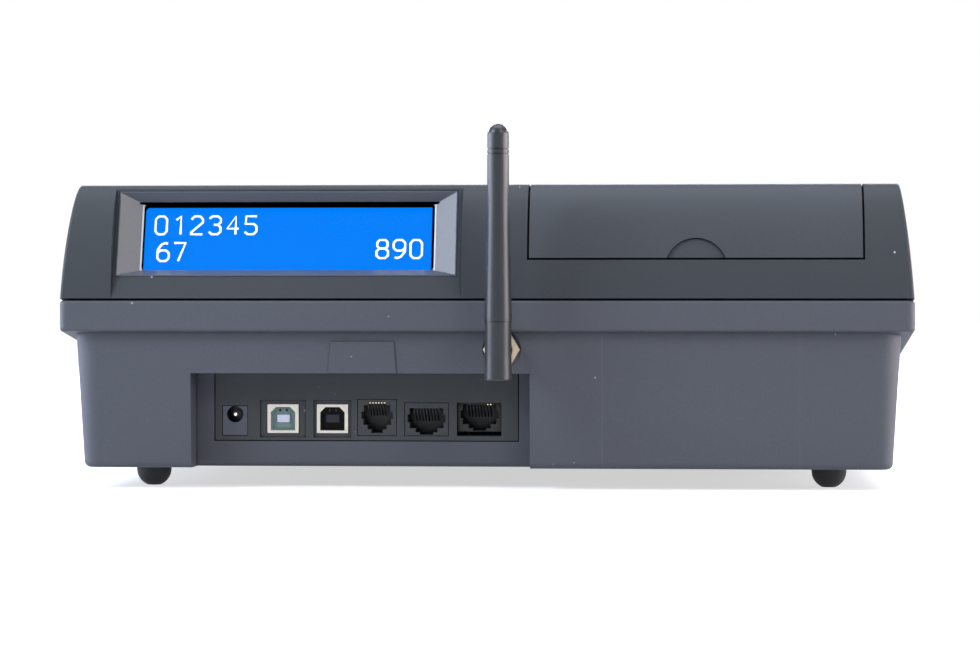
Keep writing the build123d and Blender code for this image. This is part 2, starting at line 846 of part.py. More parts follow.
with BuildPart() as printer_lid:
    add(cover_outside)
    add(lid_inside, mode=Mode.SUBTRACT)
    box_between(
        (lid_left, lid_right),
        (customer_y - overcut, lid_axis_y),
        (lid_low, crest_height + overcut),
        mode=Mode.INTERSECT,
    )
    with BuildSketch(Plane.YZ.offset(lid_left)):
        with Locations((lid_axis_y, lid_axis_height)):
            Circle(lid_barrel_radius)
    extrude(amount=lid_right - lid_left)
    for lug_x in lug_places:
        box_between(
            (lug_x - lug_length / 2 - lug_gap, lug_x + lug_length / 2 + lug_gap),
            (lid_axis_y - lid_barrel_radius - lug_gap, lid_axis_y + lid_barrel_radius + overcut),
            (lid_axis_height - lid_barrel_radius - overcut, crest_height + overcut),
            mode=Mode.SUBTRACT,
        )
    with BuildSketch(Plane.YZ.offset(lid_left - overcut)):
        with Locations((lid_axis_y, lid_axis_height)):
            Circle(lid_pin_radius + lid_pin_gap)
    extrude(amount=lid_right - lid_left + 2 * overcut, mode=Mode.SUBTRACT)
    add(notch_scoop.part, mode=Mode.SUBTRACT)
printer_lid.part.label = "printer_lid"
export_step(printer_lid.part, "parts/printer_lid.step")

with BuildPart() as lid_hinge_pin:
    with BuildSketch(Plane.YZ.offset(lug_places[0] - lug_length / 2)):
        with Locations((lid_axis_y, lid_axis_height)):
            Circle(lid_pin_radius)
    extrude(amount=lug_places[1] - lug_places[0] + lug_length)
lid_hinge_pin.part.label = "lid_hinge_pin"
export_step(lid_hinge_pin.part, "parts/lid_hinge_pin.step")

# ---------------------------------------------------------------- feet and screws
with BuildPart() as rubber_feet:
    for x, y in foot_places:
        with BuildSketch(Plane(origin=(x, y, 0), x_dir=(1, 0, 0), z_dir=(0, -1, 0))):
            with BuildLine():
                Line((0, 0), (foot_flat, 0))
                RadiusArc((foot_flat, 0), (foot_radius, foot_height - foot_rim), -foot_radius)
                Polyline(
                    (foot_radius, foot_height - foot_rim),
                    (foot_radius, foot_height),
                    (foot_spigot_radius, foot_height),
                    (foot_spigot_radius, floor_top),
                    (0, floor_top),
                    (0, 0),
                )
            make_face()
        revolve(axis=Axis((x, y, 0), (0, 0, 1)))
rubber_feet.part.label = "rubber_feet"
export_step(rubber_feet.part, "parts/rubber_feet.step")

with BuildPart() as case_screws:
    with BuildSketch(Plane.XY.offset(screw_seat - screw_head_height)):
        with Locations(post_places):
            Circle(screw_head_radius)
    extrude(amount=screw_head_height)
    with BuildSketch(Plane.XY.offset(screw_seat - screw_head_height)):
        with Locations(post_places):
            Rectangle(screw_slot_length, screw_slot_width)
            Rectangle(screw_slot_width, screw_slot_length)
    extrude(amount=screw_head_height / 2, mode=Mode.SUBTRACT)
    with BuildSketch(Plane.XY.offset(screw_seat)):
        with Locations(post_places):
            Circle(screw_radius)
    extrude(amount=screw_length)
case_screws.part.label = "case_screws"
export_step(case_screws.part, "parts/case_screws.step")

# ---------------------------------------------------------------- connector panel
usb_bottom = board_top + usb_lift
cutouts = [
    (jack_x, jack_width, board_top, jack_height),
    (usb_x[0], usb_width, usb_bottom, usb_height),
    (usb_x[1], usb_width, usb_bottom, usb_height),
    (rj12_x, rj12_width, board_top, rj12_height),
    (rj45_x[0], rj45_width, board_top, rj45_height),
    (rj45_x[1], rj45_width, board_top, rj45_height),
]

with BuildPart() as connector_panel:
    box_between(
        (panel_left, panel_right),
        (niche_back, niche_back + wall),
        (panel_bottom, niche_top),
    )
    flange_bottom = panel_bottom - panel_flange
    for left, right, bottom, top in (
        (panel_left - panel_flange, panel_left + panel_flange_lap, flange_bottom, niche_top),
        (panel_right - panel_flange_lap, panel_right + panel_flange, flange_bottom, niche_top),
        (panel_left, panel_right, flange_bottom, panel_bottom + panel_flange_lap_low),
    ):
        box_between(
            (left, right),
            (niche_back + wall, niche_back + wall + panel_flange_thickness),
            (bottom, top),
        )
    for x, width in zip(usb_x, usb_pocket_width):
        box_between(
            (x - width / 2, x + width / 2),
            (niche_back - overcut, niche_back + usb_pocket_depth),
            (usb_bottom - usb_pocket_drop, usb_bottom - usb_pocket_drop + usb_pocket_height),
            mode=Mode.SUBTRACT,
        )
    for x, width, bottom, height in cutouts:
        box_between(
            (x - width / 2 - socket_gap, x + width / 2 + socket_gap),
            (niche_back - overcut, niche_back + wall + panel_flange_thickness + overcut),
            (bottom - socket_gap, bottom + height + socket_gap),
            mode=Mode.SUBTRACT,
        )
connector_panel.part.label = "connector_panel"
export_step(connector_panel.part, "parts/connector_panel.step")

# ---------------------------------------------------------------- sockets
with BuildPart() as dc_jack:
    box_between(
        (jack_x - jack_width / 2, jack_x + jack_width / 2),
        (niche_back + jack_set, niche_back + socket_depth),
        (board_top, board_top + jack_height),
    )
    with BuildSketch(Plane.XZ.offset(-niche_back)):
        with Locations((jack_x, board_top + jack_bore_height)):
            Circle(jack_bore_radius)
    extrude(amount=-jack_bore_depth, mode=Mode.SUBTRACT)
dc_jack.part.label = "dc_jack"
export_step(dc_jack.part, "parts/dc_jack.step")

with BuildPart() as dc_jack_pin:
    with BuildSketch(Plane.XZ.offset(-niche_back - jack_bore_depth)):
        with Locations((jack_x, board_top + jack_bore_height)):
            Circle(jack_pin_radius)
    extrude(amount=jack_bore_depth - jack_pin_set)
    fillet(dc_jack_pin.edges().sort_by(Axis.Y)[0], jack_pin_round)
dc_jack_pin.part.label = "dc_jack_pin"
export_step(dc_jack_pin.part, "parts/dc_jack_pin.step")


def usb_mouth(plane, inset):
    """Outline of the USB type B mouths on a plane, with the sides moved in."""
    with BuildSketch(plane) as mouth:
        for x in usb_x:
            low = usb_bottom + (usb_height - usb_mouth_height) / 2 + inset
            high = low + usb_mouth_height - 2 * inset
            half = usb_mouth_width / 2 - inset
            corner = usb_mouth_chamfer
            with BuildLine():
                Polyline(
                    (x - half, low),
                    (x + half, low),
                    (x + half, high - corner),
                    (x + half - corner, high),
                    (x - half + corner, high),
                    (x - half, high - corner),
                    close=True,
                )
            make_face()
    return mouth.sketch


usb_front = niche_back + usb_pocket_depth - usb_reach
mouth_through = usb_mouth(Plane.XZ.offset(-usb_front), 0)
mouth_outside = usb_mouth(Plane.XZ.offset(-usb_front - usb_insert_set), 0)
mouth_inside = usb_mouth(Plane.XZ.offset(-usb_front - usb_insert_set), usb_wall)

with BuildPart() as usb_shells:
    for x in usb_x:
        box_between(
            (x - usb_width / 2, x + usb_width / 2),
            (usb_front, niche_back + socket_depth),
            (usb_bottom, usb_bottom + usb_height),
        )
        box_between(
            (x - usb_width / 2, x + usb_width / 2),
            (niche_back + socket_depth - usb_leg_depth, niche_back + socket_depth),
            (board_top, usb_bottom),
        )
    extrude(mouth_through, amount=-socket_depth - 2 * overcut, mode=Mode.SUBTRACT)
usb_shells.part.label = "usb_shells"
export_step(usb_shells.part, "parts/usb_shells.step")

with BuildPart() as usb_inserts:
    extrude(mouth_outside, amount=-(niche_back + socket_depth - usb_front - usb_insert_set))
    extrude(mouth_inside, amount=-usb_inside_depth, mode=Mode.SUBTRACT)
    for x in usb_x:
        middle = usb_bottom + usb_height / 2
        box_between(
            (x - usb_tongue_width / 2, x + usb_tongue_width / 2),
            (usb_front + usb_insert_set + usb_tongue_set, usb_front + usb_insert_set + usb_inside_depth),
            (middle - usb_tongue_height / 2, middle + usb_tongue_height / 2),
        )
usb_inserts.part.label = "usb_inserts"
export_step(usb_inserts.part, "parts/usb_inserts.step")


def cut_steps(x, bottom, face, steps):
    """Cut the stepped mouth of a modular jack into the part whose block is open."""
    for width, low, high in steps:
        box_between(
            (x - width / 2, x + width / 2),
            (face - overcut, face + rj_inside_depth),
            (bottom + low, bottom + high),
            mode=Mode.SUBTRACT,
        )


rj12_face = niche_back + socket_set
with BuildPart() as rj12_socket:
    box_between(
        (rj12_x - rj12_width / 2, rj12_x + rj12_width / 2),
        (rj12_face, niche_back + socket_depth),
        (board_top, board_top + rj12_height),
    )
    cut_steps(rj12_x, board_top, rj12_face, rj12_steps)
rj12_socket.part.label = "rj12_socket"
export_step(rj12_socket.part, "parts/rj12_socket.step")

rj45_faces = [niche_back + socket_set + step_back for step_back in rj45_set]
rj45_bottoms = [board_top + lift for lift in rj45_lift]
with BuildPart() as rj45_sockets:
    for x, face, bottom, lift in zip(rj45_x, rj45_faces, rj45_bottoms, rj45_lift):
        box_between(
            (x - rj45_width / 2, x + rj45_width / 2),
            (face, face + socket_depth),
            (bottom, bottom + rj45_height),
        )
        cut_steps(x, bottom, face, rj45_steps)
        if lift > 0:
            for side in (-1, 1):
                with Locations((x + side * peg_spread, face + peg_back, board_top)):
                    Cylinder(peg_radius, lift, align=(Align.CENTER, Align.CENTER, Align.MIN))
rj45_sockets.part.label = "rj45_sockets"
export_step(rj45_sockets.part, "parts/rj45_sockets.step")

contact_rows = [(rj12_x, rj12_pitch, rj12_contacts, board_top + rj12_steps[-1][2], rj12_face)]
for x, face, bottom in zip(rj45_x, rj45_faces, rj45_bottoms):
    contact_rows.append((x, rj45_pitch, rj45_contacts, bottom + rj45_steps[-1][2], face))
with BuildPart() as socket_contacts:
    for row_x, pitch, count, top, face in contact_rows:
        for index in range(count):
            x = row_x + (index - (count - 1) / 2) * pitch
            box_between(
                (x - contact_width / 2, x + contact_width / 2),
                (face + contact_set, face + rj_inside_depth),
                (top - contact_thickness, top),
            )
socket_contacts.part.label = "socket_contacts"
export_step(socket_contacts.part, "parts/socket_contacts.step")

# ---------------------------------------------------------------- antenna
tilt_y = customer_y - antenna_reach
nut_face_y = nut_y - nut_height
with BuildPart() as antenna_socket:
    with BuildSketch(Plane.XZ.offset(-nut_y)):
        with Locations((antenna_x, antenna_axis_height)):
            RegularPolygon(nut_across_flats / sqrt(3), 6)
    extrude(amount=nut_height)
    with BuildSketch(Plane.XZ.offset(-nut_face_y)):
        with Locations((antenna_x, antenna_axis_height)):
            Circle(stud_radius)
    extrude(amount=stud_reach)
    with BuildSketch(Plane.XZ.offset(-nut_y)):
        with Locations((antenna_x, antenna_axis_height)):
            Circle(stud_radius)
    extrude(amount=-stud_length)
antenna_socket.part.label = "antenna_socket"
export_step(antenna_socket.part, "parts/antenna_socket.step")

collar_back = nut_face_y - swivel_gap
with BuildPart() as antenna_base:
    with BuildSketch(Plane.XZ.offset(-collar_back)):
        with Locations((antenna_x, antenna_axis_height)):
            Circle(collar_radius)
    extrude(amount=collar_back - customer_y + collar_reach)
    with BuildSketch(Plane.YZ.offset(antenna_x)):
        with Locations((tilt_y, antenna_axis_height)):
            Circle(tongue_radius)
        with Locations(((tilt_y + customer_y - collar_reach + tongue_lap) / 2, antenna_axis_height)):
            Rectangle(antenna_reach - collar_reach + tongue_lap, 2 * tongue_radius)
    extrude(amount=tongue_width / 2, both=True)
    with BuildSketch(Plane.XZ.offset(-collar_back - overcut)):
        with Locations((antenna_x, antenna_axis_height)):
            Circle(stud_radius + stud_gap)
    extrude(amount=overcut + stud_reach - swivel_gap + stud_end_gap, mode=Mode.SUBTRACT)
    with BuildSketch(Plane.YZ.offset(antenna_x - tongue_width)):
        with Locations((tilt_y, antenna_axis_height)):
            Circle(hinge_pin_radius)
    extrude(amount=2 * tongue_width, mode=Mode.SUBTRACT)
antenna_base.part.label = "antenna_base"
export_step(antenna_base.part, "parts/antenna_base.step")

with BuildPart() as antenna_hinge_pin:
    with BuildSketch(Plane.YZ.offset(antenna_x)):
        with Locations((tilt_y, antenna_axis_height)):
            Circle(hinge_pin_radius)
    extrude(amount=knuckle_radius - hinge_pin_set, both=True)
antenna_hinge_pin.part.label = "antenna_hinge_pin"
export_step(antenna_hinge_pin.part, "parts/antenna_hinge_pin.step")

knuckle_bottom = antenna_axis_height - knuckle_down
knuckle_top = antenna_axis_height + knuckle_up
slot_radius = tongue_radius + tongue_gap
antenna_plane = Plane(origin=(antenna_x, tilt_y, 0), x_dir=(1, 0, 0), z_dir=(0, -1, 0))
antenna_line = Axis((antenna_x, tilt_y, 0), (0, 0, 1))
with BuildPart() as antenna_knuckle:
    with BuildSketch(antenna_plane):
        with BuildLine():
            Polyline(
                (0, knuckle_bottom),
                (knuckle_flare - knuckle_chamfer, knuckle_bottom),
                (knuckle_flare, knuckle_bottom + knuckle_chamfer),
                (knuckle_radius, knuckle_bottom + knuckle_flare_height),
                (knuckle_radius, knuckle_top),
                (0, knuckle_top),
                close=True,
            )
        make_face()
    revolve(axis=antenna_line)
    with BuildSketch(Plane.YZ.offset(antenna_x)):
        with Locations((tilt_y, antenna_axis_height)):
            Circle(slot_radius)
        with BuildLine():
            Polyline(
                (tilt_y - slot_radius, antenna_axis_height),
                (tilt_y - slot_radius, knuckle_bottom - overcut),
                (tilt_y + knuckle_flare + overcut, knuckle_bottom - overcut),
                (tilt_y + knuckle_flare + overcut, antenna_axis_height + slot_radius),
                (tilt_y, antenna_axis_height + slot_radius),
                (tilt_y, antenna_axis_height),
                close=True,
            )
        make_face()
    extrude(amount=tongue_width / 2 + tongue_gap, both=True, mode=Mode.SUBTRACT)
    with BuildSketch(Plane.YZ.offset(antenna_x)):
        with Locations((tilt_y, antenna_axis_height)):
            Circle(hinge_pin_radius + hinge_pin_gap)
    extrude(amount=knuckle_flare + overcut, both=True, mode=Mode.SUBTRACT)
antenna_knuckle.part.label = "antenna_knuckle"
export_step(antenna_knuckle.part, "parts/antenna_knuckle.step")

dome_start = whip_tip - whip_radius
with BuildPart() as antenna_whip:
    with BuildSketch(antenna_plane):
        with BuildLine():
            Polyline((0, dome_start), (0, knuckle_top), (whip_root_radius, knuckle_top))
            Polyline(
                (whip_root_radius, knuckle_top),
                (whip_root_radius, knuckle_top + whip_root_band),
                (whip_radius + whip_taper, whip_taper_end),
                (whip_radius, dome_start),
            )
            RadiusArc((whip_radius, dome_start), (0, whip_tip), -whip_radius)
            Line((0, whip_tip), (0, dome_start))
        make_face()
        for shift in (-whip_groove_spread, whip_groove_spread):
            with Locations((whip_radius, whip_groove_height + shift)):
                Rectangle(2 * whip_groove_depth, whip_groove_width, mode=Mode.SUBTRACT)
    revolve(axis=antenna_line)
antenna_whip.part.label = "antenna_whip"
export_step(antenna_whip.part, "parts/antenna_whip.step")

# ---------------------------------------------------------------- customer's display
throat_width = frame_width - 2 * frame_side
throat_height = frame_height - 2 * frame_rail
pane_width = throat_width + 2 * pane_border
pane_height = throat_height + 2 * pane_rail
frame_centre = (frame_x, frame_middle)
ear_height = frame_height - frame_ear_set
throat_level = -well_depth - frame_throat

with BuildPart() as customer_display_frame:
    with BuildSketch(display_plane):
        with Locations(frame_centre):
            Rectangle(frame_width, frame_height)
    extrude(amount=-frame_back)
    with BuildSketch(display_plane.offset(-cover_wall - frame_ear_thickness)):
        with Locations((frame_x, frame_low + ear_height / 2)):
            Rectangle(frame_width + 2 * frame_ear, ear_height)
    extrude(amount=frame_ear_thickness)
    with BuildSketch(display_plane):
        with Locations(frame_centre):
            Rectangle(frame_width - 2 * frame_rim, frame_height - 2 * frame_rim)
    with BuildSketch(display_plane.offset(-well_depth)):
        with Locations(frame_centre):
            Rectangle(throat_width, throat_height)
    loft(mode=Mode.SUBTRACT)
    with BuildSketch(display_plane.offset(throat_lap - well_depth)):
        with Locations(frame_centre):
            RectangleRounded(throat_width, throat_height, throat_corner)
    extrude(amount=-frame_back, mode=Mode.SUBTRACT)
    with BuildSketch(display_plane.offset(throat_level)):
        with Locations(frame_centre):
            Rectangle(pane_width + 2 * pane_fit, pane_height + 2 * pane_fit)
    extrude(amount=-frame_back, mode=Mode.SUBTRACT)
customer_display_frame.part.label = "customer_display_frame"
export_step(customer_display_frame.part, "parts/customer_display_frame.step")

with BuildPart() as customer_display_window:
    with BuildSketch(display_plane.offset(throat_level)):
        with Locations(frame_centre):
            Rectangle(pane_width, pane_height)
    extrude(amount=-pane_thickness)
customer_display_window.part.label = "customer_display_window"
export_step(customer_display_window.part, "parts/customer_display_window.step")

with BuildPart() as customer_display_module:
    with BuildSketch(display_plane.offset(throat_level - pane_thickness)):
        with Locations(frame_centre):
            Rectangle(pane_width, pane_height)
    extrude(amount=-module_thickness)
customer_display_module.part.label = "customer_display_module"
export_step(customer_display_module.part, "parts/customer_display_module.step")

# ---------------------------------------------------------------- operator's display
with BuildPart() as operator_display_window:
    with BuildSketch(screen_plane.offset(-screen_depth)):
        with Locations((screen_x, 0)):
            Rectangle(screen_pane_width, screen_pane_height)
    extrude(amount=screen_pane)
operator_display_window.part.label = "operator_display_window"
export_step(operator_display_window.part, "parts/operator_display_window.step")

with BuildPart() as operator_display_module:
    with BuildSketch(screen_plane.offset(-screen_depth)):
        with Locations((screen_x, 0)):
            Rectangle(screen_width - 2 * screen_module_gap, screen_height - 2 * screen_module_gap)
    extrude(amount=-screen_module)
operator_display_module.part.label = "operator_display_module"
export_step(operator_display_module.part, "parts/operator_display_module.step")

# ---------------------------------------------------------------- printer
plate_inside = roll_width / 2 + side_gap
plate_outside = plate_inside + plate_thickness
trough_outside = roll_radius + roll_gap + trough_thickness
plate_places = (printer_x - plate_inside - plate_thickness, printer_x + plate_inside)
gear_start = printer_x + plate_outside + gear_gap
platen_pitch = gear_module * platen_teeth / 2
idler_pitch = gear_module * idler_teeth / 2
pinion_pitch = gear_module * pinion_teeth / 2
platen_centre = Vector(platen_y, platen_axis_height)
motor_centre = Vector(motor_y, motor_axis_height)
span = platen_centre - motor_centre
motor_reach = pinion_pitch + idler_pitch
platen_reach = platen_pitch + idler_pitch
along = (motor_reach**2 - platen_reach**2 + span.length**2) / (2 * span.length)
across = sqrt(motor_reach**2 - along**2)
idler_centre = motor_centre + span.normalized() * along + Vector(-span.Y, span.X).normalized() * across


def direction(start, end):
    """Angle of the line from one centre to another, in radians."""
    return atan2(end.Y - start.Y, end.X - start.X)


def mesh_phase(phase, line, teeth, next_teeth):
    """Angle of a tooth on a gear that meshes with one whose tooth stands at a phase."""
    offset_angle = phase - line
    return line + pi - offset_angle * teeth / next_teeth + pi / next_teeth


pinion_phase = direction(motor_centre, idler_centre)
idler_phase = mesh_phase(pinion_phase, pinion_phase, pinion_teeth, idler_teeth)
platen_phase = mesh_phase(idler_phase, direction(idler_centre, platen_centre), idler_teeth, platen_teeth)


def gear_points(centre, teeth, phase):
    """Corners of an involute gear's outline, four to each flank."""
    pitch_radius = gear_module * teeth / 2
    base_radius = pitch_radius * cos(radians(gear_pressure_angle))
    tip_radius = pitch_radius + gear_addendum * gear_module
    root_radius = pitch_radius - gear_dedendum * gear_module
    pressure = radians(gear_pressure_angle)
    half_tooth = (pi * gear_module / 2 - gear_backlash) / (2 * pitch_radius)
    start_radius = max(base_radius, root_radius + gear_root_rise)
    points = []
    for tooth in range(teeth):
        middle = phase + tooth * 2 * pi / teeth
        flank = []
        for step in range(flank_points):
            radius = start_radius + (tip_radius - start_radius) * step / (flank_points - 1)
            roll = acos(min(1.0, base_radius / radius))
            half = half_tooth + (tan(pressure) - pressure) - (tan(roll) - roll)
            flank.append((radius, half))
        foot_half = flank[0][1]
        outline = [(root_radius, -foot_half)] + [(radius, -half) for radius, half in flank]
        outline += [(radius, half) for radius, half in reversed(flank)] + [(root_radius, foot_half)]
        for radius, angle in outline:
            points.append((centre.X + radius * cos(middle + angle), centre.Y + radius * sin(middle + angle)))
    return points


def place(centre):
    """Location of a centre given as its Y and Z on a plane across the printer."""
    return (centre.X, centre.Y)


with BuildPart() as printer_frame:
    for plate_x in plate_places:
        with BuildSketch(Plane.YZ.offset(plate_x)):
            with BuildLine():
                Polyline(
                    (roll_y - roll_radius - plate_margin, floor_top),
                    (motor_y + motor_radius, floor_top),
                    (motor_y + motor_radius, motor_axis_height + motor_radius),
                    (platen_y + platen_radius + plate_margin, platen_axis_height + platen_radius),
                    (platen_y - platen_radius - plate_front, platen_axis_height + platen_radius),
                    (roll_y + roll_radius - plate_set, roll_axis_height + plate_rise),
                    (roll_y - roll_radius - plate_margin, roll_axis_height + plate_rise),
                    close=True,
                )
            make_face()
        extrude(amount=plate_thickness)
    with BuildSketch(Plane.YZ.offset(plate_places[0])):
        with Locations((roll_y, roll_axis_height)):
            Circle(trough_outside)
            Circle(roll_radius + roll_gap, mode=Mode.SUBTRACT)
        with Locations((roll_y, roll_axis_height + trough_outside)):
            Rectangle(2 * (trough_outside + overcut), 2 * trough_outside, mode=Mode.SUBTRACT)
    extrude(amount=2 * plate_outside)
    with BuildSketch(Plane.YZ.offset(printer_x - plate_outside - overcut)):
        with Locations(place(platen_centre)):
            Circle(shaft_radius + shaft_gap)
    extrude(amount=2 * (plate_outside + overcut), mode=Mode.SUBTRACT)
    with BuildSketch(Plane.YZ.offset(printer_x + plate_inside - overcut)):
        with Locations(place(motor_centre)):
            Circle(motor_shaft_radius + shaft_gap)
    extrude(amount=plate_thickness + 2 * overcut, mode=Mode.SUBTRACT)
    with BuildSketch(Plane.YZ.offset(printer_x + plate_inside)):
        with Locations(place(idler_centre)):
            Circle(idler_axle_radius)
    extrude(amount=plate_thickness + gear_gap + gear_width + axle_end)
    with BuildSketch(Plane.YZ.offset(printer_x + plate_inside)):
        with Locations(place(idler_centre)):
            Circle(idler_axle_radius + axle_collar)
    extrude(amount=plate_thickness + gear_gap - axle_collar_gap)
printer_frame.part.label = "printer_frame"
export_step(printer_frame.part, "parts/printer_frame.step")

with BuildPart() as platen_shaft:
    with BuildSketch(Plane.YZ.offset(printer_x - plate_outside - shaft_end)):
        with Locations(place(platen_centre)):
            Circle(shaft_radius)
    extrude(amount=2 * plate_outside + shaft_end + gear_gap + gear_width)
platen_shaft.part.label = "platen_shaft"
export_step(platen_shaft.part, "parts/platen_shaft.step")

with BuildPart() as platen_rubber:
    with BuildSketch(Plane.YZ.offset(printer_x)):
        with Locations(place(platen_centre)):
            Circle(platen_radius)
            Circle(shaft_radius, mode=Mode.SUBTRACT)
    extrude(amount=plate_inside - platen_gap, both=True)
platen_rubber.part.label = "platen_rubber"
export_step(platen_rubber.part, "parts/platen_rubber.step")

with BuildPart() as platen_gear:
    with BuildSketch(Plane.YZ.offset(gear_start)):
        with BuildLine():
            Polyline(*gear_points(platen_centre, platen_teeth, platen_phase), close=True)
        make_face()
        with Locations(place(platen_centre)):
            Circle(shaft_radius, mode=Mode.SUBTRACT)
    extrude(amount=gear_width)
platen_gear.part.label = "platen_gear"
export_step(platen_gear.part, "parts/platen_gear.step")

with BuildPart() as idler_gear:
    with BuildSketch(Plane.YZ.offset(gear_start)):
        with BuildLine():
            Polyline(*gear_points(idler_centre, idler_teeth, idler_phase), close=True)
        make_face()
        with Locations(place(idler_centre)):
            Circle(idler_axle_radius + shaft_gap, mode=Mode.SUBTRACT)
    extrude(amount=gear_width)
idler_gear.part.label = "idler_gear"
export_step(idler_gear.part, "parts/idler_gear.step")

with BuildPart() as motor_pinion:
    with BuildSketch(Plane.YZ.offset(gear_start)):
        with BuildLine():
            Polyline(*gear_points(motor_centre, pinion_teeth, pinion_phase), close=True)
        make_face()
    extrude(amount=gear_width)
    with BuildSketch(Plane.YZ.offset(printer_x + plate_inside - motor_length / 2)):
        with Locations(place(motor_centre)):
            Circle(motor_shaft_radius)
    extrude(amount=motor_length / 2 + plate_thickness + gear_gap + motor_shaft_lap)
motor_pinion.part.label = "motor_pinion"
export_step(motor_pinion.part, "parts/motor_pinion.step")

with BuildPart() as stepper_motor:
    with BuildSketch(Plane.YZ.offset(printer_x + plate_inside - motor_length)):
        with Locations(place(motor_centre)):
            Circle(motor_radius)
    extrude(amount=motor_length)
    with BuildSketch(Plane.YZ.offset(printer_x + plate_inside - motor_length / 2 - motor_shaft_end_gap)):
        with Locations(place(motor_centre)):
            Circle(motor_shaft_radius + shaft_gap)
    extrude(amount=motor_length, mode=Mode.SUBTRACT)
stepper_motor.part.label = "stepper_motor"
export_step(stepper_motor.part, "parts/stepper_motor.step")

with BuildPart() as print_head:
    box_between(
        (printer_x - plate_inside, printer_x + plate_inside),
        (platen_y - platen_radius - head_gap - head_thickness, platen_y - platen_radius - head_gap),
        (platen_axis_height + head_rise - head_height, platen_axis_height + head_rise),
    )
print_head.part.label = "print_head"
export_step(print_head.part, "parts/print_head.step")

with BuildPart() as paper_roll:
    with BuildSketch(Plane.YZ.offset(printer_x)):
        with Locations((roll_y, roll_axis_height)):
            Circle(roll_radius)
            Circle(roll_core_radius + roll_core_wall, mode=Mode.SUBTRACT)
    extrude(amount=roll_width / 2, both=True)
paper_roll.part.label = "paper_roll"
export_step(paper_roll.part, "parts/paper_roll.step")

with BuildPart() as paper_core:
    with BuildSketch(Plane.YZ.offset(printer_x)):
        with Locations((roll_y, roll_axis_height)):
            Circle(roll_core_radius + roll_core_wall)
            Circle(roll_core_radius, mode=Mode.SUBTRACT)
    extrude(amount=roll_width / 2, both=True)
paper_core.part.label = "paper_core"
export_step(paper_core.part, "parts/paper_core.step")

bar_half = roll_width / 2 + slot_side
bar_teeth = int(2 * bar_half / tear_bar_pitch)
bar_pitch = 2 * bar_half / bar_teeth
with BuildPart() as tear_bar:
    with BuildSketch(Plane.XZ.offset(-slot_y - slot_width / 2)):
        with BuildLine():
            corners = [(printer_x - bar_half, slot_surface - tear_bar_height)]
            for tooth in range(bar_teeth):
                left = printer_x - bar_half + tooth * bar_pitch
                corners.append((left, slot_surface + tear_bar_low))
                corners.append((left + bar_pitch / 2, slot_surface + tear_bar_high))
            corners.append((printer_x + bar_half, slot_surface + tear_bar_low))
            corners.append((printer_x + bar_half, slot_surface - tear_bar_height))
            Polyline(*corners, close=True)
        make_face()
    extrude(amount=-tear_bar_thickness)
tear_bar.part.label = "tear_bar"
export_step(tear_bar.part, "parts/tear_bar.step")

# ---------------------------------------------------------------- keys
flange_top = -cover_wall - key_rest_gap
key_bottom = flange_top - key_flange_height
stem_bottom = -board_drop + key_travel + key_stem_gap
deck_normal = Axis((0, 0, 0), deck_plane.z_dir)
for name, x, y, width in keys:
    with BuildPart() as key:
        with BuildSketch(deck_plane.offset(key_bottom)):
            with Locations((x, y)):
                Rectangle(width, key_height)
        extrude(amount=key_base - key_bottom)
        with BuildSketch(deck_plane.offset(key_base)):
            with Locations((x, y)):
                Rectangle(width, key_height)
        extrude(amount=key_rise - key_base, taper=key_taper)
        fillet(key.faces().sort_by(deck_normal)[-1].edges(), key_round)
        with BuildSketch(deck_plane.offset(key_bottom)):
            with Locations((x, y)):
                Rectangle(width + 2 * (key_gap + key_flange), key_height + 2 * (key_gap + key_flange))
        extrude(amount=key_flange_height)
        with BuildSketch(deck_plane.offset(stem_bottom)):
            with Locations((x, y)):
                Circle(key_stem)
        extrude(amount=key_bottom - stem_bottom)
    key.part.label = name
    export_step(key.part, f"parts/{name}.step")

# ---------------------------------------------------------------- boards and modules inside
with BuildPart() as keyboard_board:
    with BuildSketch(deck_plane.offset(-board_drop - board_thickness)):
        Rectangle(2 * key_board_x, 2 * key_board_y)
    extrude(amount=board_thickness)
keyboard_board.part.label = "keyboard_board"
export_step(keyboard_board.part, "parts/keyboard_board.step")

with BuildPart() as main_board:
    box_between(
        (mainboard_left, mainboard_right),
        (customer_y + mainboard_near, customer_y + mainboard_far),
        (board_bottom, board_top),
    )
main_board.part.label = "main_board"
export_step(main_board.part, "parts/main_board.step")

with BuildPart() as battery_pack:
    box_between(
        (battery_x - battery_size[0] / 2, battery_x + battery_size[0] / 2),
        (customer_y + battery_inset - battery_size[1] / 2, customer_y + battery_inset + battery_size[1] / 2),
        (floor_top, floor_top + battery_size[2]),
    )
    fillet(battery_pack.edges().filter_by(Axis.X), battery_round)
battery_pack.part.label = "battery_pack"
export_step(battery_pack.part, "parts/battery_pack.step")

with BuildPart() as control_unit:
    box_between(
        (control_x - control_size[0] / 2, control_x + control_size[0] / 2),
        (customer_y + control_inset - control_size[1] / 2, customer_y + control_inset + control_size[1] / 2),
        (floor_top, floor_top + control_size[2]),
    )
    fillet(control_unit.edges().filter_by(Axis.Z), control_round)
control_unit.part.label = "control_unit"
export_step(control_unit.part, "parts/control_unit.step")
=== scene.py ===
"""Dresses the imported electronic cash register: its finishes, displays, legends and sockets.

Lengths are in metres, in the frame of the CAD model: +X along the case to the right of someone who
looks at the connectors, -Y towards that side, +Z up from the table. Sizes named with _mm are
millimetres, and go through mm().
"""

import json
import logging
import math
from dataclasses import dataclass, field
from enum import Enum
from typing import Any

import bpy
from mathutils import Matrix, Vector


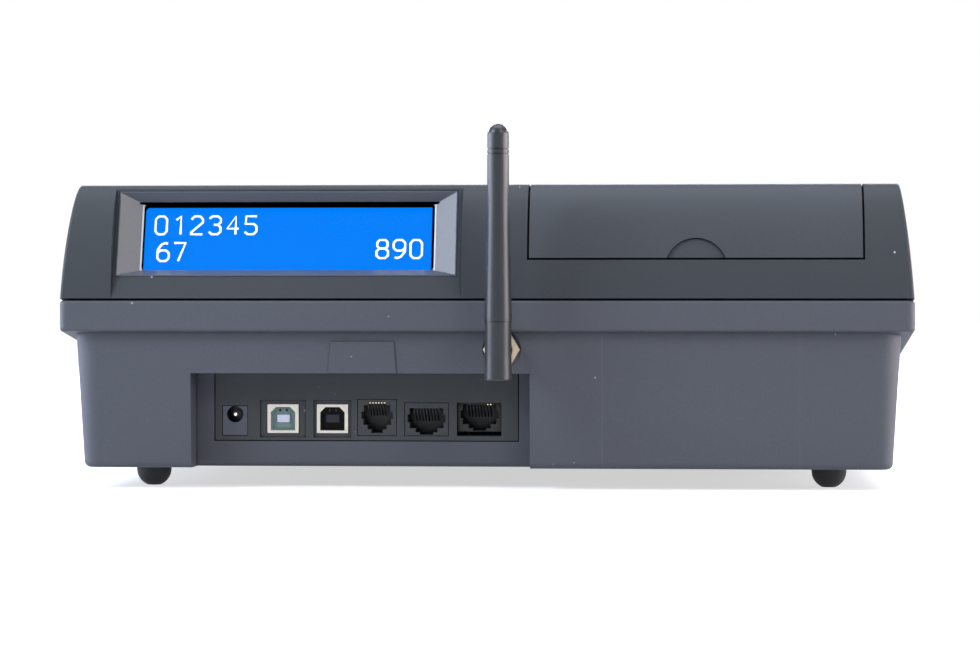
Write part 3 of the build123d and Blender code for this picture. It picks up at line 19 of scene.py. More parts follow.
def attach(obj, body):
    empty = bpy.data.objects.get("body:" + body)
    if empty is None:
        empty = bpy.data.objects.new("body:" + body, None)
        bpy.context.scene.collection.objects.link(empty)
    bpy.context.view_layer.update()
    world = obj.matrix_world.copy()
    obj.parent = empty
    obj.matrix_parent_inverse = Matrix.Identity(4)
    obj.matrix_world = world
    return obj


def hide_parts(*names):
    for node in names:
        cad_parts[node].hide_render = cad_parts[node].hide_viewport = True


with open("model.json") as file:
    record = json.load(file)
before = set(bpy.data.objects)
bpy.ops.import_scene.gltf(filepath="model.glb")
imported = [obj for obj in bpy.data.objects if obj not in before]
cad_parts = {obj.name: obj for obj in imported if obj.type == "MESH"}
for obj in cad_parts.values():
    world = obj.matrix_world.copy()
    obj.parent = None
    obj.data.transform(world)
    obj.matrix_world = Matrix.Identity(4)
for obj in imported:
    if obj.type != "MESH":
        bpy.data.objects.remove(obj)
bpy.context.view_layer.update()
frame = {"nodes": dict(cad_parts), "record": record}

log = logging.getLogger("register")

METRE = 1000.0  # in millimetres
Colour = tuple[float, float, float, float]


# ---------------------------------------------------------------- helpers


def mm(length: float) -> float:
    """A length in millimetres as metres."""
    return length / METRE


def linear(hex_colour: str) -> Colour:
    """Turns an sRGB hex colour into Blender's linear colour.

    Args:
        hex_colour: six hex digits, such as "565C66".

    Returns:
        Red, green, blue and an alpha of 1.
    """
    parts = [int(hex_colour[i : i + 2], 16) / 255.0 for i in (0, 2, 4)]
    curve = [c / 12.92 if c <= 0.04045 else ((c + 0.055) / 1.055) ** 2.4 for c in parts]
    return (curve[0], curve[1], curve[2], 1.0)


def shade(colour: Colour, factor: float) -> Colour:
    """A colour made darker, or lighter up to white."""
    red, green, blue = (min(1.0, part * factor) for part in colour[:3])
    return (red, green, blue, 1.0)


def deselect() -> None:
    """Leaves object mode with nothing selected, so that an operator acts on one piece alone."""
    if bpy.context.object is not None and bpy.context.object.mode != "OBJECT":
        bpy.ops.object.mode_set(mode="OBJECT")
    bpy.ops.object.select_all(action="DESELECT")


def settle(piece: bpy.types.Object) -> bpy.types.Object:
    """Writes a piece's place, turn and scale into its mesh, so that its object is at the origin."""
    deselect()
    piece.select_set(True)
    bpy.context.view_layer.objects.active = piece
    bpy.ops.object.transform_apply(location=True, rotation=True, scale=True)
    return piece


def soften(piece: bpy.types.Object, width_mm: float, segments: int) -> None:
    """Rounds a piece's sharp edges by a bevel of this width."""
    rims = piece.modifiers.new("rims", "BEVEL")
    rims.width = mm(width_mm)
    rims.segments = segments
    rims.limit_method = "ANGLE"
    bpy.ops.object.modifier_apply(modifier=rims.name)


def wear(piece: bpy.types.Object, material: bpy.types.Material) -> None:
    """Gives a piece this material and no other."""
    piece.data.materials.clear()
    piece.data.materials.append(material)


# ---------------------------------------------------------------- places


@dataclass(frozen=True)
class Slope:
    """A leaning plane with its own x, y and height, as a display or a key deck has.

    Attributes:
        origin: the plane's origin in millimetres.
        turn: the plane's X and Z angles in degrees, which turn a flat sheet's face into its own.
    """

    origin: tuple[float, float, float]
    turn: tuple[float, float]

    @property
    def euler(self) -> tuple[float, float, float]:
        """The plane's turn, as an object's rotation."""
        return (math.radians(self.turn[0]), 0.0, math.radians(self.turn[1]))

    def point(self, x: float, y: float, height: float) -> Vector:
        """The place of a point on the plane, in metres.

        Args:
            x: along the plane, in millimetres.
            y: up the plane, in millimetres.
            height: out of the plane, in millimetres.

        Returns:
            The point in the frame of the CAD model.
        """
        turned = Matrix.Rotation(self.euler[2], 3, "Z") @ Matrix.Rotation(self.euler[0], 3, "X")
        return (Vector(self.origin) + turned @ Vector((x, y, height))) / METRE


DISPLAY_LEAN = 17.5
CUSTOMER_SLOPE = Slope(origin=(0.0, -105.15, 72.6), turn=(90.0 - DISPLAY_LEAN, 0.0))
OPERATOR_SLOPE = Slope(origin=(0.0, -6.4, 103.5), turn=(math.degrees(math.atan2(21, 26)), 180.0))
DECK_SLOPE = Slope(origin=(0.0, 62.6, 74.5), turn=(math.degrees(math.atan2(37, 112)), 180.0))


# ---------------------------------------------------------------- node trees


Corner = tuple[float | None, float | None, float | None]
Patch = tuple[Corner, Corner, str]
Inputs = dict[Any, Any]

# sockets that share their names with others, by their numbers
MIX_FACTOR, MIX_A, MIX_B, MIX_RESULT = 0, 6, 7, 2
FROM_MIN, FROM_MAX, TO_MIN, TO_MAX = 1, 2, 3, 4


@dataclass
class Graph:
    """A node tree that is being built. Its calls return sockets, or take them for a value.

    Attributes:
        tree: the node tree, which is emptied first.
        coordinates: the name of the coordinates that its textures follow.
        place: the socket of those coordinates.
    """

    tree: bpy.types.NodeTree
    coordinates: str = "Object"
    place: Any = field(init=False)

    def __post_init__(self) -> None:
        """Empties the tree and adds its coordinates."""
        self.tree.nodes.clear()
        self.place = self.add("ShaderNodeTexCoord").outputs[self.coordinates]

    def add(self, kind: str, inputs: Inputs | None = None, **settings: Any) -> bpy.types.Node:
        """Adds a node with its settings, its plain inputs and its links.

        Args:
            kind: the node's type, such as "ShaderNodeMath".
            inputs: a value or another node's output for each input, by name or by number.
            **settings: the node's own properties.

        Returns:
            The new node.
        """
        node = self.tree.nodes.new(kind)
        for name, value in settings.items():
            setattr(node, name, value)
        for key, value in (inputs or {}).items():
            if isinstance(value, bpy.types.NodeSocket):
                self.tree.links.new(value, node.inputs[key])
            else:
                node.inputs[key].default_value = value
        return node

    def compute(self, operation: str, *values: Any) -> Any:
        """The result of one Math node over these values."""
        return self.add("ShaderNodeMath", dict(enumerate(values)), operation=operation).outputs[0]

    def vector(self, operation: str, *values: Any, **named: Any) -> Any:
        """The outputs of one Vector Math node over these values, numbered or named."""
        inputs = {**dict(enumerate(values)), **named}
        return self.add("ShaderNodeVectorMath", inputs, operation=operation).outputs

    def blend(self, factor: Any, low: Any, high: Any) -> Any:
        """The colour between two colours by a factor."""
        inputs = {MIX_FACTOR: factor, MIX_A: low, MIX_B: high}
        mix = self.add("ShaderNodeMix", inputs, data_type="RGBA", clamp_factor=True)
        return mix.outputs[MIX_RESULT]

    def parts(self) -> Any:
        """The place's own X, Y and Z, by name or number."""
        return self.add("ShaderNodeSeparateXYZ", {0: self.place}).outputs

    def moved(self, kind: str, value: tuple[float, ...]) -> Any:
        """The place after a Mapping by its "Location", "Rotation" or "Scale"."""
        return self.add("ShaderNodeMapping", {"Vector": self.place, kind: value}).outputs[0]

    def noise(self, size_mm: float, detail: float, roughness: float = 0.5, at: Any = None) -> Any:
        """A cloud noise.

        Args:
            size_mm: the size of its clouds.
            detail: how many finer layers it has.
            roughness: how strong the finer layers are.
            at: its coordinates, where they aren't the graph's place.

        Returns:
            Its level, around 0.5.
        """
        inputs = {"Vector": self.place if at is None else at, "Scale": 1 / mm(size_mm)}
        inputs |= {"Detail": detail, "Roughness": roughness}
        return self.add("ShaderNodeTexNoise", inputs).outputs["Fac"]

    def remap(
        self, value: Any, low: float, high: float, start: float = 0.0, end: float = 1.0
    ) -> Any:
        """Moves a value from the range start to end into the range low to high.

        Args:
            value: the value.
            low: what start becomes.
            high: what end becomes.
            start: where the value's own range begins.
            end: where it ends.

        Returns:
            The moved value, never outside low to high.
        """
        limits = {FROM_MIN: start, FROM_MAX: end, TO_MIN: low, TO_MAX: high}
        return self.add("ShaderNodeMapRange", {"Value": value, **limits}).outputs[0]

    def relief(self, height: Any, depth_mm: float) -> Any:
        """The normal of a surface with a fine relief of this depth."""
        inputs = {"Height": height, "Distance": mm(depth_mm), "Strength": 1.0}
        return self.add("ShaderNodeBump", inputs).outputs[0]

    def box(self, low: Corner, high: Corner) -> Any:
        """A mask that is 1 inside a box.

        Args:
            low: the box's low corner in millimetres, with None for an open side.
            high: its high corner.

        Returns:
            The mask.
        """
        parts = self.parts()
        mask: Any = 1.0
        for axis in range(3):
            for limit, side in ((low[axis], "GREATER_THAN"), (high[axis], "LESS_THAN")):
                if limit is not None:
                    inside = self.compute(side, parts[axis], mm(limit))
                    mask = self.compute("MULTIPLY", mask, inside)
        return mask

    def band(self, value: Any, middle_mm: float, width_mm: float) -> Any:
        """A mask that is 1 where a value is within half a width of its middle."""
        off = self.compute("ABSOLUTE", self.compute("SUBTRACT", value, mm(middle_mm)))
        return self.compute("LESS_THAN", off, mm(width_mm / 2))


# ---------------------------------------------------------------- finishes


@dataclass(frozen=True, kw_only=True)
class Finish:
    """A finish: a material named for what the real surface is made of.

    Attributes:
        name: the material's name.
        patches: boxes with a colour of their own: low corner, high corner, colour. A corner's
            None leaves that side open.
    """

    name: str
    patches: tuple[Patch, ...] = ()

    def surface(self, graph: Graph) -> Inputs:
        """The shader's inputs, by name.

        Args:
            graph: the material's graph, which gets the nodes that the inputs need.

        Returns:
            A value or a socket for each input that differs from the shader's own.
        """
        raise NotImplementedError

    def patched(self, graph: Graph, colour: Any) -> Any:
        """The colour with every patch's own colour over it."""
        for low, high, own in self.patches:
            colour = graph.blend(graph.box(low, high), colour, linear(own))
        return colour

    def glow_of(self, colour: Any, strength: float) -> Inputs:
        """The inputs of a surface that gives light, or none where it gives none."""
        return {"Emission Color": colour, "Emission Strength": strength} if strength else {}

    def make(self) -> bpy.types.Material:
        """Builds the material."""
        material = bpy.data.materials.new(self.name)
        material.use_nodes = True
        graph = Graph(material.node_tree)
        shader = graph.add("ShaderNodeBsdfPrincipled", self.surface(graph))
        graph.add("ShaderNodeOutputMaterial", {"Surface": shader.outputs[0]})
        return material


@dataclass(frozen=True, kw_only=True)
class MouldedPlastic(Finish):
    """ABS from a spark-eroded mould: matt, evenly grained, with a little dust on it and painted
    shade in its seams.

    Attributes:
        colour: the plastic's own colour.
        roughness: typical of textured ABS, 0.45 to 0.65.
        roughness_drift: how far the roughness drifts with the mottle.
        ior: the plastic's index of refraction.
        grain_mm: the size of the grain. The real 0.2 to 0.4 mm is drawn coarser, so that it shows.
        grain_depth_mm: how deep the grain is.
        grain_contrast: how much lighter or darker a grain is than the colour.
        mottle: how much lighter or darker the colour drifts over a hand's breadth.
        mottle_mm: how far it is from one such drift to the next.
        dust: how much of the dust shows, from 0 to 1.
        dust_pitch_mm: how far apart the specks may lie.
        dust_mm: the radius of the largest speck.
        dust_rarity: the power that keeps most specks too small to be seen.
        dust_colour: the specks' colour.
        mark_lift: how much lighter a moulding mark is than the colour.
        mark_share: how much of such a mark shows.
        crevice_shade: painted shade: how much of the colour is left deep in a seam.
        crevice_shade_mm: how far from a seam's walls the painted shade reaches.
        crevice_shade_range: the ambient occlusion level at which the painted shade is full, and at
            which it has gone.
        crevice_shade_rays: how many rays measure how enclosed a point is.
        shine: the specular level in the open, which the painted shade takes away in a seam along
            with its colour.
    """

    colour: str
    roughness: float = 0.55
    roughness_drift: float = 0.04
    ior: float = 1.53
    grain_mm: float = 0.7
    grain_depth_mm: float = 0.03
    grain_contrast: float = 0.07
    mottle: float = 0.10
    mottle_mm: float = 70.0
    dust: float = 0.0
    dust_pitch_mm: float = 7.0
    dust_mm: float = 0.48
    dust_rarity: float = 3.0
    dust_colour: str = "C4C8CE"
    mark_lift: float = 1.6
    mark_share: float = 0.5
    crevice_shade: float = 0.12
    crevice_shade_mm: float = 1.6
    crevice_shade_range: tuple[float, float] = (0.25, 0.8)
    crevice_shade_rays: int = 6
    shine: float = 0.5

    def marks(self, graph: Graph) -> Any:
        """A mask of moulding marks, which a plain surface doesn't have."""
        return 0.0

    def specks(self, graph: Graph) -> Any:
        """A mask of the dust: one speck to a cell, few of them big enough to be seen."""
        inputs = {"Vector": graph.place, "Scale": 1 / mm(self.dust_pitch_mm)}
        cells = graph.add("ShaderNodeTexVoronoi", inputs).outputs
        chance = graph.add("ShaderNodeSeparateColor", {0: cells["Color"]}).outputs[0]
        rare = graph.compute("POWER", chance, self.dust_rarity)
        reach = graph.compute("MULTIPLY", rare, self.dust_mm / self.dust_pitch_mm)
        speck = graph.compute("LESS_THAN", cells["Distance"], reach)
        return graph.compute("MULTIPLY", speck, self.dust)

    def crevice_shade_factor(self, graph: Graph) -> Any:
        """Painted shade for seams: the share of colour that a point keeps, 1 in the open and least
        deep in a seam.
        """
        reach = {"Distance": mm(self.crevice_shade_mm)}
        near = graph.add("ShaderNodeAmbientOcclusion", reach, samples=self.crevice_shade_rays)
        return graph.remap(near.outputs["AO"], self.crevice_shade, 1.0, *self.crevice_shade_range)

    def gloss(self, graph: Graph, crevice_shade_factor: Any) -> Any:
        """The specular level at a point, which the painted seam shade lowers."""
        return graph.compute("MULTIPLY", crevice_shade_factor, self.shine)

    def surface(self, graph: Graph) -> Inputs:
        """The shader's inputs."""
        own = linear(self.colour)
        drift = graph.noise(self.mottle_mm, detail=3.0)
        colour = graph.blend(drift, shade(own, 1 - self.mottle), shade(own, 1 + self.mottle))
        grain = graph.noise(self.grain_mm, detail=2.0, roughness=0.6)
        low, high = 1 - self.grain_contrast, 1 + self.grain_contrast
        level = graph.remap(grain, low, high, start=0.3, end=0.7)
        colour = graph.vector("SCALE", colour, Scale=level)[0]
        colour = graph.blend(self.specks(graph), colour, linear(self.dust_colour))
        marks = graph.compute("MULTIPLY", self.marks(graph), self.mark_share)
        colour = graph.blend(marks, colour, shade(own, self.mark_lift))
        # painted shade in seams: the colour and the specular level are scaled down where a point is
        # enclosed
        crevice_shade_factor = self.crevice_shade_factor(graph)
        low, high = self.roughness - self.roughness_drift, self.roughness + self.roughness_drift
        return {
            "Base Color": graph.vector("SCALE", self.patched(graph, colour), Scale=crevice_shade_factor)[0],
            "Specular IOR Level": self.gloss(graph, crevice_shade_factor),
            "Roughness": graph.remap(drift, low, high),
            "IOR": self.ior,
            "Normal": graph.relief(grain, self.grain_depth_mm),
        }


@dataclass(frozen=True, kw_only=True)
class ThroatedPlastic(MouldedPlastic):
    """The display frame's ABS, with painted shadow from the foot of its well inwards and painted
    highlight lines at its sides.

    Attributes:
        slope: the frame's plane.
        floor_mm: the height at which the painted shadow begins, in millimetres out of the plane.
        black: the painted shadow's colour.
        band_mm: under the top strip the painted shadow begins at this height, above this y.
        rim_highlight_mm: the painted highlight line reaches from the well's foot up to this height.
        sides_mm: the x of the well's middle and half the length of the strips without a line.
        rim: the painted highlight line's colour.
    """

    slope: Slope
    floor_mm: float = -4.55
    black: str = "030404"
    band_mm: tuple[float, float] = (-3.6, 38.9)
    rim_highlight_mm: float = -4.2
    sides_mm: tuple[float, float] = (-75.35, 55.7)
    rim: str = "C4C2C6"

    def along(self, graph: Graph, way: tuple[float, float, float]) -> Any:
        """How far a point lies along one of the slope's own axes, in metres."""
        origin = self.slope.point(0.0, 0.0, 0.0)
        axis = (self.slope.point(*way) - origin).normalized()
        reach = graph.vector("DOT_PRODUCT", graph.place, tuple(axis))["Value"]
        return graph.compute("SUBTRACT", reach, origin.dot(axis))

    def throat_shadow(self, graph: Graph) -> Any:
        """A mask of the painted shadow in the well's inner part."""
        height = self.along(graph, (0.0, 0.0, 1.0))
        inner = graph.compute("LESS_THAN", height, mm(self.floor_mm))
        low = graph.compute("LESS_THAN", height, mm(self.band_mm[0]))
        up = graph.compute("GREATER_THAN", self.along(graph, (0.0, 1.0, 0.0)), mm(self.band_mm[1]))
        return graph.compute("MAXIMUM", inner, graph.compute("MULTIPLY", low, up))

    def patched(self, graph: Graph, colour: Any) -> Any:
        """The colour with the painted highlight lines and the painted shadow of the well's inner
        part over it.
        """
        height = self.along(graph, (0.0, 0.0, 1.0))
        foot = graph.compute("LESS_THAN", height, mm(self.rim_highlight_mm))
        middle, half = self.sides_mm
        between = graph.band(graph.parts()["X"], middle, 2 * half)
        rim_highlight = graph.compute("MULTIPLY", graph.compute("SUBTRACT", 1.0, between), foot)
        colour = graph.blend(rim_highlight, colour, linear(self.rim))
        return graph.blend(self.throat_shadow(graph), colour, linear(self.black))

    def gloss(self, graph: Graph, crevice_shade_factor: Any) -> Any:
        """The specular level at a point, which is nothing where the well's inner part is painted in
        shadow.
        """
        satin = graph.compute("SUBTRACT", 1.0, self.throat_shadow(graph))
        return graph.compute("MULTIPLY", satin, self.shine)


@dataclass(frozen=True, kw_only=True)
class WitnessedPlastic(MouldedPlastic):
    """The housing's ABS, with the faint upright lines where the mould's inserts met.

    Attributes:
        lines_mm: the x of each line, in millimetres, and how clearly it shows.
        line_width_mm: the width of a line.
        bounds: the corners of the box that has lines in it.
    """

    lines_mm: tuple[tuple[float, float], ...] = ()
    line_width_mm: float = 0.35
    bounds: tuple[Corner, Corner] = ((None, None, None), (None, -95.0, 60.0))

    def marks(self, graph: Graph) -> Any:
        """A mask of the witness lines on the customer's side."""
        total: Any = 0.0
        for x_mm, strength in self.lines_mm:
            line = graph.band(graph.parts()["X"], x_mm, self.line_width_mm)
            total = graph.compute("MAXIMUM", total, graph.compute("MULTIPLY", line, strength))
        return graph.compute("MULTIPLY", total, graph.box(*self.bounds))


@dataclass(frozen=True, kw_only=True)
class EjectedPlastic(MouldedPlastic):
    """The connector panel's ABS, with faint round marks where ejector pins pushed it out.

    Attributes:
        centres_mm: the x and z of each mark, in millimetres, and how clearly it shows.
        radius_mm: the pins' radius.
        ring_mm: the width of a mark's ring.
    """

    centres_mm: tuple[tuple[float, float, float], ...] = ()
    radius_mm: float = 2.7
    ring_mm: float = 0.45

    def marks(self, graph: Graph) -> Any:
        """A mask of each pin's ring."""
        parts = graph.parts()
        total: Any = 0.0
        for x_mm, z_mm, strength in self.centres_mm:
            across = graph.compute("SUBTRACT", parts["X"], mm(x_mm))
            up = graph.compute("SUBTRACT", parts["Z"], mm(z_mm))
            square = graph.compute("MULTIPLY", up, up)
            out = graph.compute("SQRT", graph.compute("MULTIPLY_ADD", across, across, square))
            ring = graph.band(out, self.radius_mm, self.ring_mm)
            total = graph.compute("MAXIMUM", total, graph.compute("MULTIPLY", ring, strength))
        return total


@dataclass(frozen=True, kw_only=True)
class Metal(Finish):
    """A plated, ground or rolled metal, with fine lines along one axis.

    Attributes:
        colour: the metal's reflection colour.
        roughness: 0.2 for plating, 0.35 for rolled or ground steel.
        lines_mm: the pitch of the lines across each axis.
        depth_mm: how deep the lines are.
        dulling: how much of the colour a line keeps.
        painted_glint: a painted highlight, a glow in the part's own colour, for a small bright part
            deep in its hole.
    """

    colour: str
    roughness: float = 0.3
    lines_mm: tuple[float, float, float] = (0.3, 0.3, 6.0)
    depth_mm: float = 0.004
    dulling: float = 0.86
    painted_glint: float = 0.0

    def surface(self, graph: Graph) -> Inputs:
        """The shader's inputs."""
        own = linear(self.colour)
        stretched = graph.moved("Scale", tuple(1 / mm(pitch) for pitch in self.lines_mm))
        lines = graph.noise(size_mm=METRE, detail=3.0, at=stretched)
        colour = self.patched(graph, graph.blend(lines, shade(own, self.dulling), own))
        return {
            "Base Color": colour,
            "Metallic": 1.0,
            "Roughness": graph.remap(lines, self.roughness * 0.8, self.roughness * 1.2),
            "Normal": graph.relief(lines, self.depth_mm),
            # painted highlight: the part glows in its own colour
            **self.glow_of(colour, self.painted_glint),
        }


@dataclass(frozen=True, kw_only=True)
class LitGlass(Finish):
    """A backlit liquid crystal glass: an even, vivid field with its pixel grid just visible.

    Attributes:
        colour: the lit field's colour.
        unlit: the glass's own colour.
        pitch_mm: the pixel pitch. The real 0.3 mm is drawn at twice that, so that it shows.
        slope: the display's plane, which the grid follows.
    """

    colour: str
    unlit: str = "000206"
    pitch_mm: float = 0.62
    slope: Slope = CUSTOMER_SLOPE

    def surface(self, graph: Graph) -> Inputs:
        """The shader's inputs."""
        grid = {
            "Vector": graph.moved("Rotation", (-self.slope.euler[0], 0.0, 0.0)),
            "Color1": (1, 1, 1, 1),
            "Color2": (1, 1, 1, 1),
            "Mortar": (0.9, 0.9, 0.9, 1),
            "Scale": 1 / mm(self.pitch_mm),
            "Mortar Size": 0.06,
            "Brick Width": 1.0,
            "Row Height": 1.0,
        }
        pixels = graph.add("ShaderNodeTexBrick", grid, offset=0.0).outputs["Color"]
        glow = graph.vector("MULTIPLY", linear(self.colour)[:3], pixels)[0]
        return {
            "Base Color": linear(self.unlit),
            "Roughness": 0.35,
            "Specular IOR Level": 0.0,
            **self.glow_of(self.patched(graph, glow), 1.0),
        }


@dataclass(frozen=True, kw_only=True)
class Pane(Finish):
    """A cast acrylic window with an anti-reflection coat, which a low IOR stands for.

    Attributes:
        tint: what the acrylic does to the light that passes.
        ior: the index of refraction, far below the 1.49 of bare acrylic.
        haze: the roughness where the coat is clean, and where it is smeared.
        haze_mm: the size of a smear.
    """

    tint: str = "FFFFFF"
    ior: float = 1.12
    haze: tuple[float, float] = (0.01, 0.04)
    haze_mm: float = 12.0

    def surface(self, graph: Graph) -> Inputs:
        """The shader's inputs."""
        return {
            "Base Color": linear(self.tint),
            "Roughness": graph.remap(graph.noise(self.haze_mm, detail=2.0), *self.haze),
            "Transmission Weight": 1.0,
            "IOR": self.ior,
        }


@dataclass(frozen=True, kw_only=True)
class Rubber(Finish):
    """Vulcanised rubber: nearly black, dull, with a ground or moulded nap.

    Attributes:
        colour: the rubber's colour.
        bloom: how much lighter the nap's tips are.
        nap_mm: the size of its nap.
        nap_depth_mm: how deep the nap is.
    """

    colour: str
    bloom: float = 1.5
    nap_mm: float = 0.8
    nap_depth_mm: float = 0.03

    def surface(self, graph: Graph) -> Inputs:
        """The shader's inputs."""
        own = linear(self.colour)
        nap = graph.noise(self.nap_mm, detail=4.0)
        return {
            "Base Color": graph.blend(nap, own, shade(own, self.bloom)),
            "Roughness": 0.6,
            "IOR": 1.52,
            "Normal": graph.relief(nap, self.nap_depth_mm),
        }


@dataclass(frozen=True, kw_only=True)
class Fibre(Finish):
    """Paper or card: matt, with a slight cloud of fibres.

    Attributes:
        colour: the sheet's colour.
        cloud_mm: the size of the fibre clouds.
        contrast: how much darker the clouds are.
        wound: the middle of the roll that the sheet is wound into, or None for a flat sheet.
        turn_mm: the pitch of the roll's turns, drawn far coarser than the paper is thick.
    """

    colour: str
    cloud_mm: float = 1.2
    contrast: float = 0.18
    wound: tuple[float, float, float] | None = None
    turn_mm: float = 1.1

    def surface(self, graph: Graph) -> Inputs:
        """The shader's inputs."""
        own = linear(self.colour)
        pattern = graph.noise(self.cloud_mm, detail=5.0)
        if self.wound is not None:
            rings = {
                "Vector": graph.moved("Location", tuple(-mm(part) for part in self.wound)),
                "Scale": 1 / mm(self.turn_mm) / (2 * math.pi),
                "Distortion": 0.6,
            }
            turns = graph.add("ShaderNodeTexWave", rings, wave_type="RINGS", rings_direction="X")
            pattern = graph.compute("MULTIPLY", pattern, turns.outputs["Fac"])
        return {
            "Base Color": graph.blend(pattern, shade(own, 1 - self.contrast), own),
            "Roughness": 0.8,
            "IOR": 1.5,
            "Normal": graph.relief(pattern, depth_mm=0.02),
        }


@dataclass(frozen=True, kw_only=True)
class CircuitBoard(Finish):
    """Solder mask over copper: green, satin, with paler tracks under it.

    Attributes:
        colour: the mask's colour over the bare board.
        track: its colour over copper.
        cell_mm: the size of the tracks' pattern.
    """

    colour: str = "0E4A2A"
    track: str = "1C6A3E"
    cell_mm: float = 5.0

    def surface(self, graph: Graph) -> Inputs:
        """The shader's inputs."""
        cells = {
            "Vector": graph.place,
            "Color1": linear(self.colour),
            "Color2": linear(self.colour),
            "Mortar": linear(self.track),
            "Scale": 1 / mm(self.cell_mm),
            "Mortar Size": 0.06,
            "Brick Width": 1.4,
            "Row Height": 0.5,
        }
        tracks = graph.add("ShaderNodeTexBrick", cells).outputs
        relief = graph.relief(tracks["Fac"], depth_mm=0.03)
        return {"Base Color": tracks["Color"], "Roughness": 0.35, "Normal": relief}


@dataclass(frozen=True, kw_only=True)
class Ink(Finish):
    """Pad-printed ink: even and matt, with a few pinholes.

    Attributes:
        colour: the ink's colour.
        glow: how much light it gives, as a lit segment does.
        pore_mm: the size of its pinholes.
    """

    colour: str
    glow: float = 0.0
    pore_mm: float = 0.5

    def surface(self, graph: Graph) -> Inputs:
        """The shader's inputs."""
        own = linear(self.colour)
        colour = graph.blend(graph.noise(self.pore_mm, detail=2.0), shade(own, 0.94), own)
        return {"Base Color": colour, "Roughness": 0.5, **self.glow_of(colour, self.glow)}


# ---------------------------------------------------------------- the register's finishes


